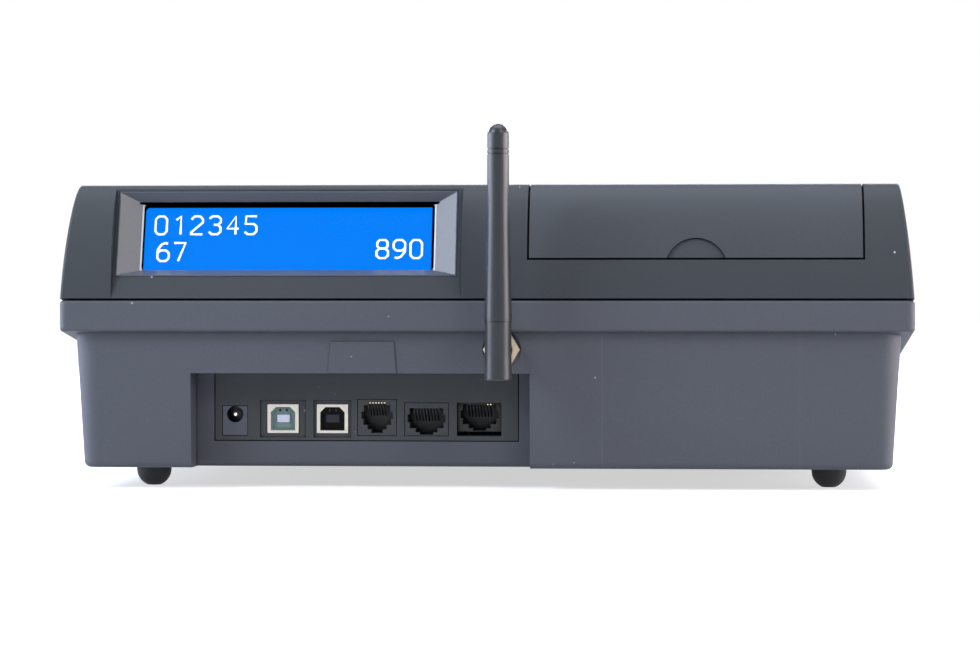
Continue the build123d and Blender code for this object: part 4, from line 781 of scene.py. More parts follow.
RECIPES: dict[str, Finish] = {
    # the case: slate grey, matt and even, so that its long faces shade off softly
    "lower_plastic": WitnessedPlastic(
        name="textured_abs_housing", colour="494D55", dust=0.5, lines_mm=((44.6, 1.0), (118.8, 0.5))
    ),
    # painted shade: the cover and the lid are the housing's one plastic, given darker colours for
    # the light that their leaning faces miss, the lid a little lighter than the cover
    "cover_plastic": MouldedPlastic(
        name="textured_abs_cover", colour="2C3237", roughness=0.62, dust=0.8
    ),
    "lid_plastic": MouldedPlastic(
        name="textured_abs_lid", colour="363C42", roughness=0.6, dust=0.8
    ),
    "panel_plastic": EjectedPlastic(
        name="textured_abs_panel",
        colour="35393B",
        dust=0.3,
        centres_mm=((-97.0, 39.0, 0.5), (-59.4, 39.0, 0.4), (-42.0, 40.5, 0.3), (-2.9, 39.0, 0.8)),
    ),
    # the customer display: satin sides that catch the keys, round a vivid lit field
    "frame_plastic": ThroatedPlastic(
        name="satin_abs_frame",
        colour="525860",
        slope=CUSTOMER_SLOPE,
        roughness=0.3,
        grain_depth_mm=0.01,
        dust=0.5,
        crevice_shade_mm=1.0,
    ),
    "window_clear": Pane(name="anti_glare_acrylic"),
    "display_blue": LitGlass(
        name="backlit_lcd",
        colour="0181FF",
        patches=(((-20.9, None, None), (None, None, None), "000000"),),
    ),
    "display_operator": LitGlass(
        name="backlit_lcd_operator", colour="0181FF", slope=OPERATOR_SLOPE
    ),
    # under the case
    "foot_rubber": Rubber(name="moulded_rubber", colour="27282A"),
    "screw_steel": Metal(name="zinc_plated_steel", colour="9A9A9C", roughness=0.35),
    # the sockets: small bright or coloured parts in deep mouths, with painted shade in the mouths
    # and painted highlights on the small metal parts
    # painted light: the pin is drawn dark for the shade of its bore, with a painted highlight spot
    # at its tip that also glows
    "jack_pin": Metal(
        name="nickel_plated_pin",
        colour="3C3D40",
        roughness=0.3,
        depth_mm=0.001,
        painted_glint=0.6,
        patches=(((-97.6, None, 27.3), (-96.4, -84.1, 28.5), "FFF6E2"),),
    ),
    "jack_plastic": MouldedPlastic(
        name="bluish_nylon",
        colour="4C515E",
        roughness=0.3,
        crevice_shade_mm=2.4,
        # painted shade: everything of the jack behind its face is drawn near black
        patches=(((None, -85.0, None), (None, None, None), "050506"),),
    ),
    "usb_metal": Metal(
        name="nickel_plated_brass",
        colour="EDE7D8",
        roughness=0.4,
        lines_mm=(2.0, 2.0, 2.0),
        depth_mm=0.002,
    ),
    "usb_insert": MouldedPlastic(
        name="moulded_pbt",
        colour="6C8381",
        roughness=0.35,
        shine=0.12,
        crevice_shade=0.6,
        crevice_shade_mm=0.6,
        patches=(
            ((-80.9, None, 24.9), (-76.1, -83.0, 27.8), "E4E6F8"),
            ((-69.0, None, None), (None, None, None), "0A0B0C"),
            ((-61.9, None, 24.9), (-56.9, -83.0, 27.8), "3A3B40"),
        ),
    ),
    # painted light: the left port's mouth floor is the insert's plastic in a lighter colour, for
    # the light that reaches it
    "usb_core": MouldedPlastic(
        name="moulded_pbt_core",
        colour="869C9A",
        roughness=0.35,
        shine=0.12,
        crevice_shade=0.5,
        crevice_shade_mm=0.6,
        patches=(((-69.0, None, None), (None, None, None), "040405"),),
    ),
    "socket_black": MouldedPlastic(
        name="glass_filled_nylon",
        colour="33373A",
        roughness=0.4,
        crevice_shade_mm=3.0,
        patches=(((-12.0, None, None), (None, None, None), "1E2122"),),
    ),
    "socket_brass": Metal(
        name="gold_flashed_brass",
        colour="FFF0D2",
        roughness=0.42,
        lines_mm=(0.8, 0.8, 0.8),
        depth_mm=0.012,
    ),
    # painted light: the contacts glow a little in their own colour as a painted glint, and the RJ45
    # contacts, from x -33 to 0, are drawn dark as painted shade
    "contact_gold": Metal(
        name="gold_flashed_bronze",
        colour="FBEBC8",
        roughness=0.22,
        painted_glint=0.4,
        patches=(((-33.0, None, None), (0.0, None, None), "30302E"),),
    ),
    "spring_dull": Metal(name="phosphor_bronze", colour="6A665C", roughness=0.35),
    # the antenna: smooth and nearly black, with a long highlight at each side
    "antenna_plastic": MouldedPlastic(
        name="satin_elastomer",
        colour="2A2D30",
        roughness=0.34,
        grain_mm=1.2,
        grain_depth_mm=0.01,
        # painted shade: a thin dark band stands for the shade in the groove at the knuckle
        patches=(((None, None, 63.65), (None, None, 64.2), "08090A"),),
    ),
    # the printer, under the lid
    "printer_plastic": MouldedPlastic(name="black_pom", colour="1B1B1E", roughness=0.4),
    "shaft_steel": Metal(
        name="ground_steel", colour="B5B5B8", roughness=0.25, lines_mm=(6.0, 0.3, 0.3)
    ),
    "platen_rubber": Rubber(name="ground_rubber", colour="1E1E20", nap_mm=0.5),
    "gear_nylon": MouldedPlastic(name="natural_nylon", colour="D8D6CC", roughness=0.4, mottle=0.04),
    "head_aluminium": Metal(
        name="anodised_aluminium", colour="B9BABD", roughness=0.4, lines_mm=(8.0, 0.4, 0.4)
    ),
    "thermal_paper": Fibre(name="coated_paper", colour="F1F1EC", wound=(79.65, -55.4, 64.0)),
    "core_cardboard": Fibre(name="wound_card", colour="9C876A", contrast=0.36),
    # the keys: plain light, grey and blue caps
    "key_light": MouldedPlastic(name="abs_key_light", colour="AEB3B7", roughness=0.45, mottle=0.03),
    "key_dark": MouldedPlastic(name="abs_key_grey", colour="565D68", roughness=0.45),
    "key_blue": MouldedPlastic(name="abs_key_blue", colour="1F5C9E", roughness=0.45),
    # inside the case
    "board_green": CircuitBoard(name="solder_mask"),
    "battery_wrap": MouldedPlastic(
        name="shrink_film", colour="1F3E78", roughness=0.25, grain_mm=5.0
    ),
    "control_steel": Metal(name="tinned_steel", colour="B8B8BA", roughness=0.3),
    # prints and lit figures
    "ink_dark": Ink(name="dark_ink", colour="23262B"),
    "ink_white": Ink(name="white_ink", colour="E9ECEF"),
    "lit_segment": Ink(name="lit_segment", colour="FFFFFF", glow=0.6),
}


@dataclass
class Finishes:
    """Every finish of the register, made once, by the record's slot or by its own use.

    Attributes:
        made: the materials, by slot or use.
    """

    made: dict[str, bpy.types.Material] = field(default_factory=dict)

    def build(self) -> None:
        """Makes all finishes."""
        for slot, recipe in RECIPES.items():
            self.made[slot] = recipe.make()

    def __getitem__(self, slot: str) -> bpy.types.Material:
        """The material of a slot or use."""
        return self.made[slot]


# ---------------------------------------------------------------- the CAD nodes


@dataclass
class Castings:
    """The CAD nodes that stay, each in the finish of its slot.

    Attributes:
        finishes: the register's finishes.
        own_finish: the finish of each node that differs from its slot's.
    """

    finishes: Finishes
    own_finish: dict[str, str] = field(
        default_factory=lambda: {
            "printer_lid": "lid_plastic",
            "customer_display_frame": "frame_plastic",
            "operator_display_module": "display_operator",
            "dc_jack": "jack_plastic",
            "dc_jack_pin": "jack_pin",
            "antenna_socket": "socket_brass",
        }
    )

    def build(self) -> None:
        """Gives every CAD node its finish."""
        for part in frame["record"]["subparts"]:
            node = frame["nodes"][part["node"]]
            finish = self.own_finish.get(part["node"], part["material_slot"])
            wear(node, self.finishes[finish])


# ---------------------------------------------------------------- lettering


GlyphStroke = tuple[tuple[float, float], ...]
GLYPH_WIDTH = 4.0
GLYPH_HEIGHT = 7.0

# strokes of each sign on a grid 4 wide and 7 high, with cut corners as on a plotter's figures
GLYPHS: dict[str, tuple[GlyphStroke, ...]] = {
    "0": (((1, 0), (3, 0), (4, 1.2), (4, 5.8), (3, 7), (1, 7), (0, 5.8), (0, 1.2), (1, 0)),),
    "1": (((1, 5.6), (2.6, 7), (2.6, 0)),),
    "2": (((0, 5.8), (1, 7), (3, 7), (4, 5.8), (4, 4.6), (0, 0.7), (0, 0), (4, 0)),),
    "3": (
        ((0, 6.1), (1, 7), (3, 7), (4, 6), (4, 4.6), (3, 3.7), (1.6, 3.7)),
        ((3, 3.7), (4, 2.7), (4, 1), (3, 0), (1, 0), (0, 0.9)),
    ),
    "4": (((3, 0), (3, 7), (0, 2.2), (4, 2.2)),),
    "5": (((4, 7), (0.3, 7), (0.1, 4), (3, 4), (4, 3), (4, 1.1), (3, 0), (1, 0), (0, 0.9)),),
    "6": (
        ((3.5, 6.7), (2.6, 7), (1.3, 6.4), (0, 4.4), (0, 1.1), (1, 0), (3, 0), (4, 1.1)),
        ((4, 1.1), (4, 3), (3, 4.1), (1, 4.1), (0, 3.1)),
    ),
    "7": (((0, 7), (4, 7), (1.6, 0)),),
    "8": (
        ((1, 3.7), (0.2, 4.6), (0.2, 6.1), (1, 7), (3, 7), (3.8, 6.1), (3.8, 4.6), (3, 3.7)),
        ((3, 3.7), (1, 3.7), (0, 2.7), (0, 1), (1, 0), (3, 0), (4, 1), (4, 2.7), (3, 3.7)),
    ),
    "9": (
        ((0.5, 0.3), (1.4, 0), (2.7, 0.6), (4, 2.6), (4, 5.9), (3, 7), (1, 7), (0, 5.9)),
        ((0, 5.9), (0, 4), (1, 2.9), (3, 2.9), (4, 3.9)),
    ),
    ".": (((1.7, 0), (2.3, 0)),),
    "C": (((4, 5.8), (3, 7), (1, 7), (0, 5.8), (0, 1.2), (1, 0), (3, 0), (4, 1.2)),),
    "+": (((2, 1.5), (2, 5.5)), ((0, 3.5), (4, 3.5))),
    "-": (((0, 3.5), (4, 3.5)),),
    "=": (((0, 2.5), (4, 2.5)), ((0, 4.5), (4, 4.5))),
    "menu": (((0, 1.5), (4, 1.5)), ((0, 3.5), (4, 3.5)), ((0, 5.5), (4, 5.5))),
    "up": (((2, 0.5), (2, 6.5)), ((0.3, 4.5), (2, 6.5), (3.7, 4.5))),
    "down": (((2, 0.5), (2, 6.5)), ((0.3, 2.5), (2, 0.5), (3.7, 2.5))),
    "feed": (((0, 6.5), (4, 6.5)), ((2, 5.2), (2, 0.5)), ((0.3, 2.5), (2, 0.5), (3.7, 2.5))),
}


@dataclass
class Lettering:
    """Generic numbers and signs, as thin raised prints on a slope.

    Attributes:
        slope: the plane that carries them.
        thickness_mm: how far a print stands out of its surface.
        stroke_mm: the width of its strokes.
    """

    slope: Slope
    thickness_mm: float = 0.06
    stroke_mm: float = 1.1

    def write(
        self,
        name: str,
        signs: list[str],
        at: tuple[float, float, float],
        size: tuple[float, float],
        pitch_mm: float,
        material: bpy.types.Material,
        body: str,
    ) -> bpy.types.Object:
        """Draws a row of signs as one mesh, centred on a point.

        Args:
            name: the piece's name.
            signs: the signs' names in GLYPHS.
            at: x, y and height on the slope, in millimetres.
            size: the width and height of one sign, between its strokes' middles.
            pitch_mm: from one sign to the next.
            material: the ink.
            body: the CAD body that carries it.

        Returns:
            The finished piece.
        """
        deselect()
        bpy.ops.curve.primitive_nurbs_path_add()
        piece = bpy.context.object
        piece.name = name
        piece.data.splines.clear()
        piece.data.dimensions = "3D"
        piece.data.bevel_depth = mm(self.stroke_mm / 2)
        piece.data.bevel_resolution = 1
        piece.data.use_fill_caps = True
        start = -(pitch_mm * (len(signs) - 1) + size[0]) / 2
        for number, sign in enumerate(signs):
            for stroke in GLYPHS[sign]:
                spline = piece.data.splines.new("POLY")
                spline.points.add(len(stroke) - 1)
                for point, (x, y) in zip(spline.points, stroke):
                    across = start + number * pitch_mm + x / GLYPH_WIDTH * size[0]
                    up = (y / GLYPH_HEIGHT - 0.5) * size[1]
                    point.co = (mm(across), mm(up), 0.0, 1.0)
        bpy.ops.object.convert(target="MESH")
        piece = bpy.context.object
        piece.scale = (1.0, 1.0, self.thickness_mm / self.stroke_mm)
        settle(piece)
        piece.rotation_euler = self.slope.euler
        piece.location = self.slope.point(*at)
        settle(piece)
        wear(piece, material)
        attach(piece, body)
        return piece


# ---------------------------------------------------------------- displays


@dataclass
class Display:
    """A leaning display: its clear window and the figures that it shows.

    Attributes:
        name: the display's name, as in its CAD nodes.
        slope: its plane.
        centre_x: the middle of its window on the slope, in millimetres.
        centre_y: the middle of its window up the slope, in millimetres.
        size: the window's width and height, in millimetres.
        front: the window's front, out of the slope, in millimetres.
        face: the lit face behind it.
        figures: each line of figures: digits, x, y and pitch.
        finishes: the register's finishes.
        digit_size: the width and height of a digit.
        digit_thickness: how far a digit stands out of the face.
        digit_stroke: the width of its strokes.
        digit_gap: how far its back stands off the face.
        window_thickness: the window's thickness.
        corner: the radius of the window's corners.
        rim: the width of the window's softened rims.
    """

    name: str
    slope: Slope
    centre_x: float
    centre_y: float
    size: tuple[float, float]
    front: float
    face: float
    figures: tuple[tuple[str, float, float, float], ...]
    finishes: Finishes
    digit_size: tuple[float, float] = (4.4, 7.3)
    digit_thickness: float = 0.12
    digit_stroke: float = 0.85
    digit_gap: float = 0.01
    window_thickness: float = 0.9
    corner: float = 1.0
    rim: float = 0.15

    def window(self) -> bpy.types.Object:
        """Makes the acrylic window, with round corners and softened rims."""
        deselect()
        bpy.ops.mesh.primitive_cube_add(size=1.0)
        pane = bpy.context.object
        pane.name = f"{self.name}_pane"
        pane.scale = (mm(self.size[0]), mm(self.size[1]), mm(self.window_thickness))
        settle(pane)
        bpy.ops.object.mode_set(mode="EDIT")
        bpy.ops.mesh.select_mode(type="EDGE")
        bpy.ops.mesh.select_all(action="DESELECT")
        bpy.ops.object.mode_set(mode="OBJECT")
        for edge in pane.data.edges:
            a, b = (pane.data.vertices[i].co for i in edge.vertices)
            edge.select = abs(a.z - b.z) > mm(self.window_thickness / 2)
        bpy.ops.object.mode_set(mode="EDIT")
        bpy.ops.mesh.bevel(offset=mm(self.corner), segments=5, affect="EDGES")
        bpy.ops.object.mode_set(mode="OBJECT")
        soften(pane, self.rim, segments=2)
        pane.rotation_euler = self.slope.euler
        pane.location = self.slope.point(
            self.centre_x, self.centre_y, self.front - self.window_thickness / 2
        )
        settle(pane)
        wear(pane, self.finishes["window_clear"])
        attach(pane, "case")
        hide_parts(f"{self.name}_window")
        return pane

    def lines(self) -> list[bpy.types.Object]:
        """Writes the figures on the display's face."""
        letters = Lettering(self.slope, self.digit_thickness, self.digit_stroke)
        height = self.face + self.digit_thickness / 2 + self.digit_gap
        return [
            letters.write(
                f"{self.name}_figures_{number}",
                list(digits),
                (x, y, height),
                self.digit_size,
                pitch,
                self.finishes["lit_segment"],
                "case",
            )
            for number, (digits, x, y, pitch) in enumerate(self.figures, start=1)
        ]

    def build(self) -> None:
        """Makes the window and the figures."""
        self.window()
        made = self.lines()
        log.info("%s: window and %d lines of figures", self.name, len(made))


# ---------------------------------------------------------------- keys


class LegendInk(Enum):
    """Which ink a legend is printed in."""

    DARK = "ink_dark"
    WHITE = "ink_white"


@dataclass
class Keyboard:
    """The legends on the twenty caps, in millimetres on the deck.

    Attributes:
        finishes: the register's finishes.
        cap_top: the height of the caps' tops out of the deck.
        legend_gap: how far a legend's middle stands off its cap.
        digit_columns: the x of each column of digits.
        rows: the y of each row.
        operator_column: the x of the blue keys.
        function_column: the x of the grey keys.
        sign_size: the width and height of a sign.
        sign_pitch: from one sign to the next.
        stroke: the width of a stroke.
    """

    finishes: Finishes
    cap_top: float = 5.0
    legend_gap: float = 0.02
    digit_columns: tuple[float, float, float] = (-28.0, 0.0, 28.0)
    rows: tuple[float, float, float, float] = (33.0, 11.0, -11.0, -33.0)
    operator_column: float = 76.0
    function_column: float = -76.0
    sign_size: tuple[float, float] = (4.2, 6.6)
    sign_pitch: float = 6.2
    stroke: float = 0.8

    def legends(self) -> list[tuple[str, list[str], float, float, LegendInk]]:
        """Every legend: key, signs, x and y on the deck as the operator sees it, and ink."""
        digits = (("7", "8", "9"), ("4", "5", "6"), ("1", "2", "3"), ("0", "00", "."))
        operators = (("clear", "C"), ("plus", "+"), ("minus", "-"), ("total", "="))
        found: list[tuple[str, list[str], float, float, LegendInk]] = []
        for y, line, (operator, sign), function in zip(
            self.rows, digits, operators, ("menu", "up", "down", "feed")
        ):
            for x, words in zip(self.digit_columns, line):
                key = "point" if words == "." else words
                found.append((key, list(words), x, y, LegendInk.DARK))
            found.append((operator, [sign], self.operator_column, y, LegendInk.WHITE))
            found.append((function, [function], self.function_column, y, LegendInk.WHITE))
        return found

    def build(self) -> None:
        """Prints every legend on its cap."""
        letters = Lettering(DECK_SLOPE, stroke_mm=self.stroke)
        for key, signs, x, y, ink in self.legends():
            letters.write(
                f"key_{key}_legend",
                signs,
                (x, y, self.cap_top + self.legend_gap),
                self.sign_size,
                self.sign_pitch,
                self.finishes[ink.value],
                f"key_{key}_body",
            )
        log.info("legends on the keys")


# ---------------------------------------------------------------- sockets


def block(name: str, low: tuple[float, ...], high: tuple[float, ...], edge: float) -> Any:
    """Adds a block with softened edges.

    Args:
        name: the piece's name.
        low: its low corner in millimetres.
        high: its high corner.
        edge: the width of its softened edges.

    Returns:
        The block, settled.
    """
    deselect()
    bpy.ops.mesh.primitive_cube_add(size=1.0)
    piece = bpy.context.object
    piece.name = name
    piece.scale = tuple(mm(b - a) for a, b in zip(low, high))
    piece.location = tuple(mm((a + b) / 2) for a, b in zip(low, high))
    settle(piece)
    soften(piece, edge, segments=1)
    return piece


@dataclass
class UsbCore:
    """The floor of one USB port's mouth, with dark discs of painted shade for the holes of its two
    upper contacts.

    Attributes:
        finishes: the register's finishes.
        name: the port's name.
        x: the x of its middle, in millimetres, as all that follow.
        front: the y of the floor's front.
        thickness: how thick the floor is.
        low_z: the height of its lower edge.
        high_z: the height of its upper edge.
        half_width: half its width.
        edge: the width of its softened edges.
        hole_z: the height of the holes.
        hole_off: how far each hole is from the middle.
        hole_radius: the holes' radius.
        hole_depth: the length of the dark disc of painted shade that stands for a hole.
        hole_rim: the width of its softened rim.
    """

    finishes: Finishes
    name: str
    x: float
    front: float = -83.3
    thickness: float = 1.0
    low_z: float = 22.2
    high_z: float = 30.4
    half_width: float = 4.4
    edge: float = 0.2
    hole_z: float = 29.5
    hole_off: float = 1.25
    hole_radius: float = 0.5
    hole_depth: float = 0.3
    hole_rim: float = 0.05

    def build(self) -> None:
        """Makes the floor and the dark discs of painted shade at its holes."""
        floor = block(
            f"{self.name}_core",
            (self.x - self.half_width, self.front, self.low_z),
            (self.x + self.half_width, self.front + self.thickness, self.high_z),
            self.edge,
        )
        wear(floor, self.finishes["usb_core"])
        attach(floor, "case")
        middle = self.front + self.hole_depth / 2 - self.hole_rim
        # painted shade: a dark disc stands in for the shade inside each contact hole
        for number, side in enumerate((-1, 1), start=1):
            deselect()
            bpy.ops.mesh.primitive_cylinder_add(
                vertices=24,
                radius=mm(self.hole_radius),
                depth=mm(self.hole_depth),
                location=(mm(self.x + side * self.hole_off), mm(middle), mm(self.hole_z)),
                rotation=(math.radians(90.0), 0.0, 0.0),
            )
            hole = bpy.context.object
            hole.name = f"{self.name}_hole_{number}"
            settle(hole)
            soften(hole, self.hole_rim, segments=1)
            wear(hole, self.finishes["platen_rubber"])
            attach(hole, "case")


@dataclass(frozen=True)
class Jack:
    """One modular jack, in millimetres.

    Attributes:
        name: the jack's name.
        x: the x of its middle.
        face: the y of its face.
        top: the height of the top of its mouth.
        contacts: how many contacts it has.
        pitch: from one contact to the next.
    """

    name: str
    x: float
    face: float
    top: float
    contacts: int
    pitch: float


@dataclass
class JackInnards:
    """The springs and the comb in the mouth of each modular jack, in millimetres.

    Attributes:
        finishes: the register's finishes.
        jacks: the jacks.
        spring_width: a spring's width.
        spring_thickness: its thickness.
        spring_root: the length of its first, level run.
        spring_start: how far its root is behind the jack's face.
        spring_drop: how far its root is below the mouth's top.
        spring_runs: its other runs: how far back and how far up each goes.
        rib: a rib's width, depth and height.
        rib_start: how far the ribs are behind the jack's face.
        rib_edge: the width of their softened edges.
    """

    finishes: Finishes
    jacks: tuple[Jack, ...]
    spring_width: float = 0.46
    spring_thickness: float = 0.16
    spring_root: float = 0.5
    spring_start: float = 1.0
    spring_drop: float = 0.6
    spring_runs: tuple[tuple[float, float], ...] = (
        (1.2, -0.5),
        (1.6, -1.3),
        (1.9, -1.7),
        (2.2, -1.2),
    )
    rib: tuple[float, float, float] = (0.36, 1.8, 2.3)
    rib_start: float = 0.6
    rib_edge: float = 0.08

    def spring(self, jack: Jack) -> bpy.types.Object:
        """Bends one spring from the mouth's top down into the jack."""
        deselect()
        bpy.ops.mesh.primitive_plane_add(size=1.0)
        strip = bpy.context.object
        strip.name = f"{jack.name}_spring_1"
        strip.scale = (mm(self.spring_width), mm(self.spring_root), 1.0)
        settle(strip)
        for vertex in strip.data.vertices:
            vertex.select = vertex.co.y > 0
        bpy.ops.object.mode_set(mode="EDIT")
        bpy.ops.mesh.select_mode(type="VERT")
        for back, up in self.spring_runs:
            bpy.ops.mesh.extrude_region_move(
                TRANSFORM_OT_translate={"value": (0.0, mm(back), mm(up))}
            )
        bpy.ops.mesh.select_all(action="SELECT")
        bpy.ops.mesh.normals_make_consistent(inside=False)
        bpy.ops.object.mode_set(mode="OBJECT")
        wall = strip.modifiers.new("thickness", "SOLIDIFY")
        wall.thickness = mm(self.spring_thickness)
        bpy.ops.object.modifier_apply(modifier=wall.name)
        first = jack.x - (jack.contacts - 1) / 2 * jack.pitch
        start = (first, jack.face + self.spring_start, jack.top - self.spring_drop)
        strip.location = tuple(mm(part) for part in start)
        settle(strip)
        wear(strip, self.finishes["spring_dull"])
        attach(strip, "case")
        return strip

    def comb(self, jack: Jack) -> bpy.types.Object:
        """Makes the plastic ribs that stand between a jack's springs."""
        deselect()
        bars = []
        for number in range(jack.contacts + 1):
            x = jack.x + (number - jack.contacts / 2) * jack.pitch
            near = jack.face + self.rib_start
            low = (x - self.rib[0] / 2, near, jack.top - self.rib[2])
            high = (x + self.rib[0] / 2, near + self.rib[1], jack.top)
            bars.append(block(f"{jack.name}_rib_{number}", low, high, self.rib_edge))
        deselect()
        for bar in bars:
            bar.select_set(True)
        bpy.context.view_layer.objects.active = bars[0]
        bpy.ops.object.join()
        comb = bpy.context.object
        comb.name = f"{jack.name}_comb"
        wear(comb, self.finishes["socket_black"])
        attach(comb, "case")
        return comb

    def build(self) -> None:
        """Fills every jack."""
        for jack in self.jacks:
            first = self.spring(jack)
            for number in range(1, jack.contacts):
                copy = first.copy()
                copy.data = first.data.copy()
                copy.name = f"{jack.name}_spring_{number + 1}"
                bpy.context.scene.collection.objects.link(copy)
                copy.location = (mm(number * jack.pitch), 0.0, 0.0)
                settle(copy)
                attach(copy, "case")
            self.comb(jack)
            log.info("%s: %d springs and a comb", jack.name, jack.contacts)


# ---------------------------------------------------------------- studio


@dataclass(frozen=True)
class Lamp:
    """A soft box, in metres.

    Attributes:
        name: the lamp's name.
        place: where it stands.
        aim: the point that it faces.
        size: its width and height.
        watts: its power.
        colour: its colour.
    """

    name: str
    place: tuple[float, float, float]
    aim: tuple[float, float, float]
    size: tuple[float, float]
    watts: float
    colour: str

    def build(self) -> None:
        """Adds the soft box."""
        data = bpy.data.lights.new(self.name, "AREA")
        data.shape = "RECTANGLE"
        data.size, data.size_y = self.size
        data.energy = self.watts
        data.color = linear(self.colour)[:3]
        lamp = bpy.data.objects.new(self.name, data)
        lamp.location = self.place
        toward = Vector(self.aim) - Vector(self.place)
        lamp.rotation_euler = toward.to_track_quat("-Z", "Y").to_euler()
        bpy.context.scene.collection.objects.link(lamp)


MIDDLE = (0.0, -0.1, 0.1)
DISPLAY_MIDDLE = (-0.05, -0.1, 0.1)
SIDE_STRIP = (1.6, 0.35)
KEY_SQUARE = (0.6, 0.6)
LAMPS = (
    Lamp("left_box", (-1.4, -0.05, 0.25), MIDDLE, SIDE_STRIP, 16.0, "E2E8FF"),
    Lamp("right_box", (1.4, -0.05, 0.25), MIDDLE, SIDE_STRIP, 19.0, "F6ECF0"),
    Lamp("left_key", (-1.18, -0.84, 0.9), DISPLAY_MIDDLE, KEY_SQUARE, 16.0, "E6EEFF"),
    Lamp("right_key", (0.8, -1.12, 0.9), DISPLAY_MIDDLE, KEY_SQUARE, 7.0, "FFF6F0"),
    Lamp("top_box", (0.0, -0.1, 1.8), (0.0, -0.1, 0.0), (2.0, 1.2), 24.0, "ECF2FF"),
    Lamp("back_box", (0.0, 1.8, 0.75), (0.0, 0.0, 0.1), (3.2, 0.35), 74.0, "C4D0F4"),
)


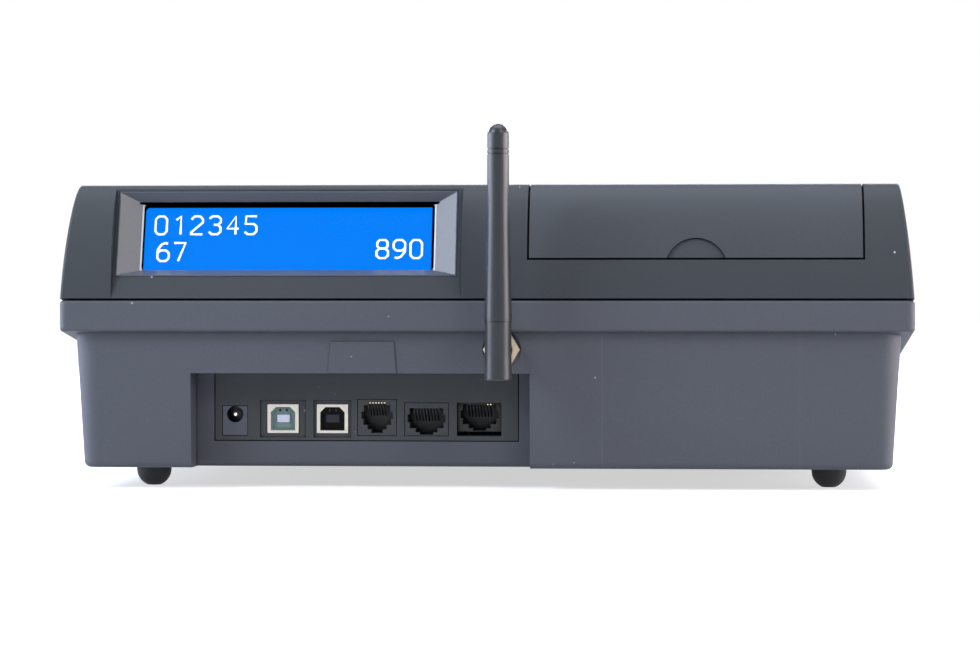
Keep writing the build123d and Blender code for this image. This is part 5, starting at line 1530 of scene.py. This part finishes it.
@dataclass
class Studio:
    """The floor, the background, the lamps and the camera.

    Attributes:
        lamps: the soft boxes.
        camera_place: where the camera stands, in metres.
        camera_yaw: how far it is turned to its left, in degrees.
        camera_pitch: how far it looks up, in degrees.
        lens: its focal length on a 36 mm sensor, in millimetres.
        fill: the world's light from the connectors' side, and from the operator's.
        sheen: what a reflection sees of the world on those two sides.
        fill_colour: the colour of both.
        floor_size: the floor's length and width.
        floor_colour: the floor's paint.
        floor_glow: the light that lifts the floor to white, near the object and far off.
        floor_reach: from how far to how far the glow grows.
        floor_mirrored: how much of the glow a reflection sees.
    """

    lamps: tuple[Lamp, ...] = LAMPS
    camera_place: tuple[float, float, float] = (0.07797, -1.2554, 0.0723)
    camera_yaw: float = 3.75
    camera_pitch: float = -0.495
    lens: float = 112.61
    fill: tuple[float, float] = (0.12, 0.35)
    sheen: tuple[float, float] = (0.3, 1.0)
    fill_colour: str = "EDF0F6"
    floor_size: float = 14.0
    floor_colour: str = "D4D4D6"
    floor_glow: tuple[float, float] = (0.6, 1.0)
    floor_reach: tuple[float, float] = (0.3, 1.2)
    floor_mirrored: float = 0.6

    def camera(self) -> None:
        """Makes the camera."""
        data = bpy.data.cameras.new("camera")
        data.lens = self.lens
        data.sensor_width = 36.0
        data.clip_end = 50.0
        camera = bpy.data.objects.new("camera", data)
        camera.location = self.camera_place
        camera.rotation_euler = (
            math.radians(90.0 + self.camera_pitch),
            0.0,
            math.radians(self.camera_yaw),
        )
        bpy.context.scene.collection.objects.link(camera)
        bpy.context.scene.camera = camera

    def background(self) -> None:
        """A pale world: white where it is seen, and a plain fill light elsewhere."""
        world = bpy.data.worlds.new("studio")
        bpy.context.scene.world = world
        world.use_nodes = True
        graph = Graph(world.node_tree, coordinates="Generated")
        ray = graph.add("ShaderNodeLightPath").outputs
        seen = graph.compute("MAXIMUM", ray["Is Camera Ray"], ray["Is Transmission Ray"])
        far = graph.parts()["Y"]
        fill = graph.remap(far, *self.fill, start=-1.0, end=1.0)
        sheen = graph.remap(far, *self.sheen, start=-1.0, end=1.0)
        more = graph.compute("SUBTRACT", sheen, fill)
        mirrored = graph.compute("MULTIPLY", more, ray["Is Glossy Ray"])
        strength = graph.compute("ADD", fill, mirrored)
        lit = {"Color": linear(self.fill_colour), "Strength": strength}
        light = graph.add("ShaderNodeBackground", lit).outputs[0]
        plain = {"Color": (1, 1, 1, 1), "Strength": 1.0}
        white = graph.add("ShaderNodeBackground", plain).outputs[0]
        mixed = graph.add("ShaderNodeMixShader", {0: seen, 1: light, 2: white})
        graph.add("ShaderNodeOutputWorld", {"Surface": mixed.outputs[0]})

    def floor(self) -> None:
        """A plain pale floor that keeps the object's shadow."""
        deselect()
        bpy.ops.mesh.primitive_plane_add(size=self.floor_size, location=(0.0, 0.0, 0.0))
        floor = bpy.context.object
        floor.name = "floor"
        material = bpy.data.materials.new("painted_sweep")
        material.use_nodes = True
        graph = Graph(material.node_tree)
        ray = graph.add("ShaderNodeLightPath").outputs
        matt = graph.add("ShaderNodeBsdfDiffuse", {"Color": linear(self.floor_colour)}).outputs[0]
        away = graph.vector("LENGTH", graph.place)["Value"]
        level = graph.remap(away, *self.floor_glow, *self.floor_reach)
        white = {"Color": (1, 1, 1, 1), "Strength": level}
        glow = graph.add("ShaderNodeEmission", white).outputs[0]
        dark = graph.add("ShaderNodeEmission", {"Strength": 0.0}).outputs[0]
        shine = graph.compute("MULTIPLY", ray["Is Glossy Ray"], self.floor_mirrored)
        seen = graph.compute("MAXIMUM", ray["Is Camera Ray"], shine)
        lift = graph.add("ShaderNodeMixShader", {0: seen, 1: dark, 2: glow}).outputs[0]
        total = graph.add("ShaderNodeAddShader", {0: matt, 1: lift})
        graph.add("ShaderNodeOutputMaterial", {"Surface": total.outputs[0]})
        wear(floor, material)

    def build(self) -> None:
        """Sets up the whole studio."""
        scene = bpy.context.scene
        scene.view_settings.view_transform = "Standard"
        self.camera()
        self.background()
        self.floor()
        for lamp in self.lamps:
            lamp.build()
        log.info("studio")


# ---------------------------------------------------------------- main


def main() -> None:
    """Builds the scene in order and reports each piece."""
    logging.basicConfig(level=logging.INFO, format="%(name)s: %(message)s")
    Studio().build()
    finishes = Finishes()
    finishes.build()
    Castings(finishes).build()
    Display(
        name="customer_display",
        slope=CUSTOMER_SLOPE,
        centre_x=-75.35,
        centre_y=25.85,
        size=(119.9, 30.5),
        front=-8.5,
        face=-10.0,
        figures=(
            ("012345", -108.1, 32.5, 6.95),
            ("67", -121.0, 21.7, 6.3),
            ("890", -33.2, 22.8, 6.5),
        ),
        finishes=finishes,
    ).build()
    Display(
        name="operator_display",
        slope=OPERATOR_SLOPE,
        centre_x=75.0,
        centre_y=0.0,
        size=(131.0, 30.0),
        front=-0.2,
        face=-1.2,
        figures=(("123456", 36.0, 5.2, 6.95), ("7890", 105.0, -5.4, 6.5)),
        finishes=finishes,
        digit_thickness=0.05,
    ).build()
    Keyboard(finishes).build()
    UsbCore(finishes, "usb_a", x=-78.5).build()
    UsbCore(finishes, "usb_b", x=-59.4).build()
    JackInnards(
        finishes,
        jacks=(
            Jack("rj12", x=-42.15, face=-85.3, top=32.6, contacts=6, pitch=1.12),
            Jack("rj45_a", x=-23.1, face=-85.3, top=30.5, contacts=8, pitch=1.2),
            Jack("rj45_b", x=-2.9, face=-82.7, top=32.0, contacts=8, pitch=1.2),
        ),
    ).build()
    log.info("size written")


if __name__ == "__main__":
    main()
